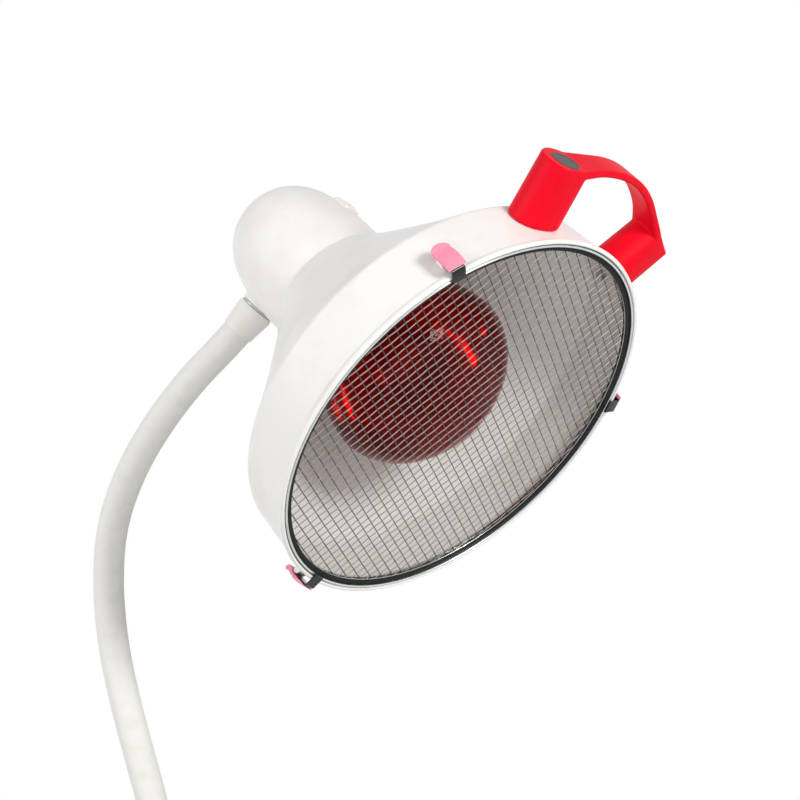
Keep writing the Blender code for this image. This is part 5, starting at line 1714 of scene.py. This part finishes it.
@dataclass
class Handle:
    """The carrying handle: a bow moulded in one with two round posts, and a plug in each post."""

    azimuth: float = math.radians(2.9)
    half_angle: float = math.radians(22.3)
    splay: float = math.radians(19.3)
    height: float = 38.6 * MM
    rise: float = 7.4 * MM
    middle_depth: float = 25.6 * MM
    post_radius: float = 15.4 * MM
    flat: float = 1.3 * MM
    flat_tilt: float = math.radians(5.0)
    thickness: float = 5.0 * MM
    sink: float = 0.6 * MM
    width: float = 20.0 * MM
    end_width: float = 27.0 * MM
    plug_radius: float = 9.2 * MM
    plug_proud: float = 0.3 * MM
    band_radius: float = 133.0 * MM
    band_slope: float = 0.047
    band_gap: float = 0.15 * MM
    band_front: float = 3.2 * MM
    corner: float = 1.9 * MM
    axis: float = 0.3 * MM
    post_root: float = 10.0 * MM
    post_eases: tuple[float, ...] = (0, 0.3, 0.9, 0)
    plug_depth: float = 2.6 * MM
    plug_rim: float = 1.1 * MM
    plug_bank: float = 0.3 * MM
    plug_dip: float = 0.25 * MM
    plug_eases: tuple[float, ...] = (0, 0.2, 0.35, 0.1, 0.1, 0)
    bow_rows: int = 61
    bow_sides: int = 40
    post_sides: int = 96
    voxel: float = 0.7 * MM
    easing: int = 5

    def post_frame(self, side: int) -> Matrix:
        """The frame of a post on the band, with its z along the post.

        Args:
            side: 1 or -1, the side of the handle.

        Returns:
            The frame.
        """
        azimuth = self.azimuth + side * self.half_angle
        foot = azimuth_frame(azimuth, self.band_radius, -self.middle_depth)
        way = lying_frame(self.azimuth + side * self.splay, 0, 0)
        return Matrix.Translation(foot.translation) @ way

    def bow(self) -> Surface:
        """The bow in the head's frame.

        At a share s from -1 to 1 its outside lies at reach + rise (1 - s^2)^2 from the axis, and
        its section is a rounded rectangle that widens towards the posts.

        Returns:
            Its surface.
        """
        half, splay = self.half_angle, self.splay
        end_x = self.band_radius * math.cos(half) + self.height * math.cos(splay)
        end_y = self.band_radius * math.sin(half) + self.height * math.sin(splay)
        reach = math.hypot(end_x, end_y)
        share = np.linspace(-1, 1, self.bow_rows)
        angle = math.atan2(end_y, end_x) * share[:, None] + self.azimuth
        outer = reach - self.sink + (self.rise + self.sink) * (1 - share**2) ** 2
        width = self.width + (self.end_width - self.width) * smoothstep(2 * np.abs(share) - 1)
        half = np.full(self.bow_rows, self.thickness / 2)
        corner = np.full(self.bow_rows, self.corner)
        section = rounded_square(half, width / 2, corner, self.bow_sides)
        radial = outer[:, None] - half[:, None] + section[..., 0]
        depth = section[..., 1] - self.middle_depth
        return lofted(np.stack([radial * np.cos(angle), radial * np.sin(angle), depth], axis=-1))

    def post(self, side: int) -> Surface:
        """One post in the head's frame, its top edge eased.

        Args:
            side: 1 or -1, the side of the handle.

        Returns:
            Its surface.
        """
        outline = [
            (self.axis, -self.post_root),
            (self.post_radius, -self.post_root),
            (self.post_radius, self.height),
            (self.axis, self.height),
        ]
        profile = rounded(outline, np.array(self.post_eases) * MM, closed=False)
        return spun(profile, self.post_sides, self.post_frame(side), looped=False)

    def held(self, points: Points) -> Points:
        """Points kept outside the band and behind the handle's flat front.

        A point nearer the axis than the band's radius at its depth moves straight out to it, and
        one past the flat's plane moves back onto it.

        Args:
            points: Points in the head's frame.

        Returns:
            The points that the moulding keeps.
        """
        tilt = azimuth_frame(self.azimuth) @ Matrix.Rotation(self.flat_tilt, 4, "Y")
        normal = np.array(tilt.to_3x3() @ Vector((0, 0, 1)))
        base = Vector((self.band_radius, 0, self.post_radius - self.flat - self.middle_depth))
        foot = np.array(azimuth_frame(self.azimuth) @ base)
        past = np.maximum((points - foot) @ normal, 0)
        kept = points - past[:, None] * normal
        radius = np.hypot(kept[:, 0], kept[:, 1])
        slope = self.band_slope * (kept[:, 2] + self.band_front)
        least = self.band_radius + self.band_gap + slope
        scale = np.maximum(least / np.maximum(radius, self.axis), 1.0)
        kept[:, :2] *= scale[:, None]
        return kept

    def moulding(self) -> None:
        """Bow and posts as one skin: remeshed together and smoothed, so that their corners ease."""
        points, faces = joined(self.bow(), self.post(1), self.post(-1))
        raw = new_object("handle_raw", new_mesh("handle_raw", (self.held(points), faces), True))
        remesh = raw.modifiers.new("skin", "REMESH")
        remesh.mode = "VOXEL"
        remesh.voxel_size = self.voxel
        smooth = raw.modifiers.new("ease", "SMOOTH")
        smooth.iterations = self.easing
        bpy.context.view_layer.update()
        graph = bpy.context.evaluated_depsgraph_get()
        skinned = bpy.data.meshes.new_from_object(raw.evaluated_get(graph))
        flat = np.empty(len(skinned.vertices) * 3, np.float32)
        skinned.vertices.foreach_get("co", flat)
        skin = placed(self.held(flat.reshape(-1, 3).astype(float)), HEAD)
        skin_faces = [list(polygon.vertices) for polygon in skinned.polygons]
        bpy.data.objects.remove(raw, do_unlink=True)
        slot = "handle"
        add_piece(
            "handle_moulding", (skin, skin_faces), RED_PLASTIC, "head", [slot], crease=50
        )

    def plugs(self) -> None:
        """The grey plugs over the screws: discs with a shallow rim."""
        top = self.height + self.plug_proud
        low = top - self.plug_depth
        rim = self.plug_radius - self.plug_rim
        outline = [
            (self.axis, low),
            (self.plug_radius, low),
            (self.plug_radius, top),
            (rim, top),
            (rim - self.plug_bank, top - self.plug_dip),
            (self.axis, top - self.plug_dip),
        ]
        profile = rounded(outline, np.array(self.plug_eases) * MM, closed=False, steps=4)
        for k, side in enumerate((1, -1), 1):
            place = HEAD @ self.post_frame(side)
            surface = spun(profile, self.post_sides, place, looped=False)
            node = f"handle_plug_{k}"
            add_piece(f"handle_cover_{k}", surface, GREY_PLASTIC, "head", [node])

    def build(self) -> None:
        """Makes the handle."""
        self.moulding()
        self.plugs()
        dress(BRIGHT_STEEL, *(f"handle_{part}_{k}" for part in ("screw", "nut") for k in (1, 2)))


# ---------------------------------------------------------------- clips


@dataclass
class Clips:
    """The three spring clips: a blackened hook over the rim with a pink finger tab on its leg."""

    azimuths: tuple[float, ...] = tuple(math.radians(a) for a in (59.2, 175.2, 298.1))
    pivot_radius: float = 137.0 * MM
    pivot_depth: float = 10.0 * MM
    width: float = 8.9 * MM
    eye_width: float = 6.2 * MM
    steel: float = 1.0 * MM
    eye: float = 2.5 * MM
    nose_reach: float = 7.6 * MM
    corner: float = 2.0 * MM
    foot: float = 11.6 * MM
    under: float = 11.9 * MM
    tab_width: float = 11.8 * MM
    tab_thickness: float = 2.1 * MM
    tab_front: float = 12.0 * MM
    tab_tail: float = 9.2 * MM
    gap: float = 0.3 * MM
    nose_ease: float = 0.8 * MM
    back_eases: tuple[float, ...] = (0, 1.0, 0.1, 0)
    eye_turn: float = math.radians(225)
    eye_steps: int = 25
    waist: float = 0.2 * MM
    waist_run: float = 0.8 * MM
    hook_bevel: float = 0.16 * MM
    tab_ease: float = 3.0 * MM
    tab_turn: float = 1.35
    tab_rows: int = 19
    tab_bevel: float = 0.45 * MM
    tab_shares: tuple[tuple[float, float], ...] = (
        (0.96, 0.3), (0.62, 0.9), (0.25, 1.0), (-0.2, 0.62), (-0.5, 0.5), (-0.75, 0.85),
        (-0.93, 0.9), (-1.0, 0.35),
    )
    under_shares: tuple[tuple[float, float], ...] = (
        (-0.94, -0.35), (-0.78, -0.72), (-0.55, -0.9), (-0.34, -0.86), (-0.19, -0.3),
    )

    def strip(self, outline: Points, half: Points) -> Surface:
        """A strip of an outline (out, along) between -half and half along the rim.

        Args:
            outline: The outline's points.
            half: Half the strip's width at each of them.

        Returns:
            Its surface, in the clip's frame.
        """
        low = np.stack([outline[:, 0], -half, outline[:, 1]], axis=-1)
        high = np.stack([outline[:, 0], half, outline[:, 1]], axis=-1)
        return lofted(np.stack([low, high]))

    def hook_outline(self) -> Points:
        """The bent strip: nose, top, outer leg and the eye rolled round the pin.

        Returns:
            The closed outline as points (out, along).
        """
        nose = -self.nose_reach
        over = self.under + self.steel
        leg = self.eye
        inner = leg - self.steel
        arc = -np.linspace(0, self.eye_turn, self.eye_steps)
        ring = np.c_[np.cos(arc), np.sin(arc)]
        top = rounded(
            [(nose, self.foot), (nose, over), (leg, over), (leg, 0)],
            np.array([0, self.nose_ease, self.corner, 0]),
            closed=False,
        )
        nose_back = nose + self.steel
        back = rounded(
            [(inner, 0), (inner, self.under), (nose_back, self.under), (nose_back, self.foot)],
            np.array(self.back_eases) * MM,
            closed=False,
        )
        return np.vstack([top[:-1], ring * leg, ring[::-1] * inner, back[1:]])

    def hook(self, k: int, place: Matrix) -> None:
        """One hook, narrower where its eye turns between the bracket's ears.

        Args:
            k: The clip's number.
            place: Its frame.
        """
        outline = self.hook_outline()
        narrow = smoothstep((outline[:, 1] - self.eye - self.waist) / self.waist_run)
        half = self.eye_width / 2 + (self.width - self.eye_width) / 2 * narrow
        surface = carried(self.strip(outline, half), place)
        name = f"clip_spring_{k}"
        node = f"clip_hook_{k}"
        piece = add_piece(name, surface, SPRING_STEEL, f"clip_{k}", [node])
        bevelled(piece, self.hook_bevel)

    def tab(self, k: int, place: Matrix) -> None:
        """One tab: an S seen along the rim, with a half-round free end.

        At an angle t across the tab the section stands at half its width times sin(t), and what
        lies past the half-round's centre is shortened by cos(t).

        Args:
            k: The clip's number.
            place: Its frame.
        """
        seat = self.eye + self.gap
        along, out = np.array(self.tab_shares).T
        reach = np.where(along > 0, self.tab_front, self.tab_tail)
        outer = np.c_[seat + self.tab_thickness * out, reach * along]
        along, out = np.array(self.under_shares).T
        inner = np.c_[seat + self.tab_thickness * out, self.tab_tail * along]
        outline = np.vstack([[(seat, self.tab_front)], outer, inner, [(seat, -self.steel)]])
        eased = rounded(outline, self.tab_ease, steps=5)
        held = np.maximum(eased[:, 0], seat)
        eased[:, 0] = np.where(eased[:, 1] > -self.steel, held, eased[:, 0])
        angle = np.linspace(-self.tab_turn, self.tab_turn, self.tab_rows)[:, None]
        half = self.tab_width / 2
        turn = half - self.tab_tail
        past = np.minimum(eased[:, 1] - turn, 0)
        along = eased[:, 1] - past + past * np.cos(angle)
        out = np.broadcast_to(eased[:, 0], along.shape)
        side = np.broadcast_to(half * np.sin(angle) / math.sin(self.tab_turn), along.shape)
        surface = carried(lofted(np.stack([out, side, along], axis=-1)), place)
        name = f"clip_finger_{k}"
        body = f"clip_{k}"
        node = f"clip_tab_{k}"
        piece = add_piece(name, surface, PINK_PLASTIC, body, [node], crease=50)
        bevelled(piece, self.tab_bevel, 3)

    def build(self) -> None:
        """Makes the three clips and finishes their brackets."""
        for k, azimuth in enumerate(self.azimuths, 1):
            place = HEAD @ azimuth_frame(azimuth, self.pivot_radius, -self.pivot_depth)
            self.hook(k, place)
            self.tab(k, place)
        dress(WHITE_ENAMEL, *(f"clip_bracket_{k}" for k in (1, 2, 3)))


# ---------------------------------------------------------------- what is inside


@dataclass
class Inside:
    """The holder, bracket, terminal block and leads, which keep their solids."""

    ceramic: tuple[str, ...] = ("lamp_holder",)
    brass: tuple[str, ...] = ("holder_shell", "holder_contact")
    steel: tuple[str, ...] = ("holder_bracket", "holder_screw_1", "holder_screw_2")
    plastic: tuple[str, ...] = ("terminal_block",)
    live: tuple[str, ...] = ("supply_lead", "switch_lead")
    neutral: tuple[str, ...] = ("neutral_lead",)

    def build(self) -> None:
        """Finishes them."""
        dress(CERAMIC, *self.ceramic)
        dress(BRASS, *self.brass)
        dress(BRIGHT_STEEL, *self.steel)
        dress(GREY_PLASTIC, *self.plastic)
        dress(BROWN_LEAD, *self.live)
        dress(BLUE_LEAD, *self.neutral)


# ---------------------------------------------------------------- studio


@dataclass
class Studio:
    """The floor, the world, the lamps and the camera."""

    eye: tuple[float, float, float] = (0.36456, -1.1699, 0.42692)
    back: tuple[float, float, float] = (0.17306, -0.98491, 0.0)
    lens: float = 81.16
    dim: float = 0.16
    bright: float = 0.82
    window: tuple[float, float, float] = (-0.38, -0.86, -0.34)
    least_cosine: float = -0.6
    target: tuple[float, float, float] = (0.17, -0.05, 0.45)
    sensor: float = 36.0
    nearest: float = 0.01
    floor_radius: float = 2.2
    floor_thickness: float = 0.004
    floor_hole: float = 0.01
    floor_rings: int = 24
    floor_sides: int = 96
    floor_fade: tuple[float, float] = (0.2, 0.62)
    floor_colours: tuple[Colour, Colour] = ((0.90, 0.90, 0.90), (0.87, 0.87, 0.87))
    grain_size: float = 3 * MM
    lamps: tuple[tuple[str, tuple[float, float, float], float, float], ...] = (
        ("right", (1.76, -1.42, 1.22), 0.6, 31.0),
        ("left", (-2.1, -1.1, 0.8), 1.2, 17.0),
    )

    def camera(self) -> None:
        """The camera, level, where the photograph's stood."""
        back = Vector(self.back).normalized()
        up = Vector((0, 0, 1))
        turn = Matrix((up.cross(back), up, back)).transposed().to_4x4()
        data = bpy.data.cameras.new("camera")
        data.sensor_width = self.sensor
        data.sensor_fit = "HORIZONTAL"
        data.lens = self.lens
        data.clip_start = self.nearest
        item = new_object("camera", data)
        item.matrix_world = Matrix.Translation(self.eye) @ turn
        bpy.context.scene.camera = item

    def light(self) -> None:
        """Soft square lamps that face the head."""
        for name, place, size, power in self.lamps:
            data = bpy.data.lights.new(name, "AREA")
            data.size = size
            data.energy = power
            item = new_object(name, data)
            item.location = place
            item.visible_camera = False
            way = Vector(self.target) - Vector(place)
            item.rotation_euler = way.to_track_quat("-Z", "Y").to_euler()

    def world(self) -> None:
        """White to the camera and in reflections; as light, brighter from the front than above.

        The light's strength goes from dim to bright as the cosine between a direction and the
        window's direction goes from least_cosine to 1.
        """
        made = Recipe("studio", world=True)
        window = tuple(Vector(self.window).normalized())
        cosine = made.node(
            "ShaderNodeVectorMath",
            {"operation": "DOT_PRODUCT"},
            {0: made.coordinates["Generated"], 1: window},
        )
        level = made.node(
            "ShaderNodeMapRange",
            {"interpolation_type": "SMOOTHSTEP"},
            {
                "Value": cosine.outputs["Value"],
                "From Min": self.least_cosine,
                "To Min": self.dim,
                "To Max": self.bright,
            },
        )
        strength = made.node(
            "ShaderNodeMapRange", None, {"Value": made.shown(), "To Min": level.outputs[0]}
        )
        inputs = {"Color": (1.0, 1.0, 1.0), "Strength": strength.outputs[0]}
        shine = made.node("ShaderNodeBackground", None, inputs)
        bpy.context.scene.world = made.finished(shine.outputs[0], "World")

    def floor_finish(self) -> bpy.types.Material:
        """Pale near the lamp; further out it shows ever more as plain white.

        Returns:
            The material.
        """
        made = Recipe("floor")
        length = made.node("ShaderNodeVectorMath", {"operation": "LENGTH"}, {0: made.place})
        far = Signal(made, length.outputs["Value"]).eased(*self.floor_fade) * 0.5 + 0.5
        share = far * made.shown()
        tone = made.blend(made.noise(self.grain_size, 3.0) * 0.3, *self.floor_colours)
        pale = made.node("ShaderNodeBsdfDiffuse", None, {"Color": tone}).outputs[0]
        glow = {"Color": (1.0, 1.0, 1.0), "Strength": 1.0}
        white = made.node("ShaderNodeEmission", None, glow).outputs[0]
        mixed = made.node("ShaderNodeMixShader", None, {0: share, 1: pale, 2: white})
        return made.finished(mixed.outputs[0])

    def floor(self) -> None:
        """A round floor that takes the lamp's shadow."""
        radii = np.linspace(self.floor_hole, self.floor_radius, self.floor_rings)
        top = turned(np.c_[radii, np.zeros(self.floor_rings)], self.floor_sides)
        under = top[-1:] - np.array([0, 0, self.floor_thickness])
        surface = lofted(np.concatenate([top, under]))
        item = new_object("floor", new_mesh("floor", surface, True))
        item.data.materials.append(self.floor_finish())
        item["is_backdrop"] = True

    def build(self) -> None:
        """Sets the studio up."""
        self.camera()
        self.light()
        self.world()
        self.floor()
        bpy.context.scene.view_settings.view_transform = "Standard"


def corners() -> list[list[float]]:
    """The object's box now, as plain lists."""
    low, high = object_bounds()
    return [[float(v) for v in low], [float(v) for v in high]]


def main() -> None:
    """Builds the lamp from its base to its head, then the studio round it."""
    logging.basicConfig(level=logging.INFO, format="%(message)s")
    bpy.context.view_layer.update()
    for part in (Base, Arm, Swivel, Shade, Guard, Housing, Switch, Bulb, Handle, Clips, Inside):
        part().build()
    Studio().build()


if __name__ == "__main__":
    main()
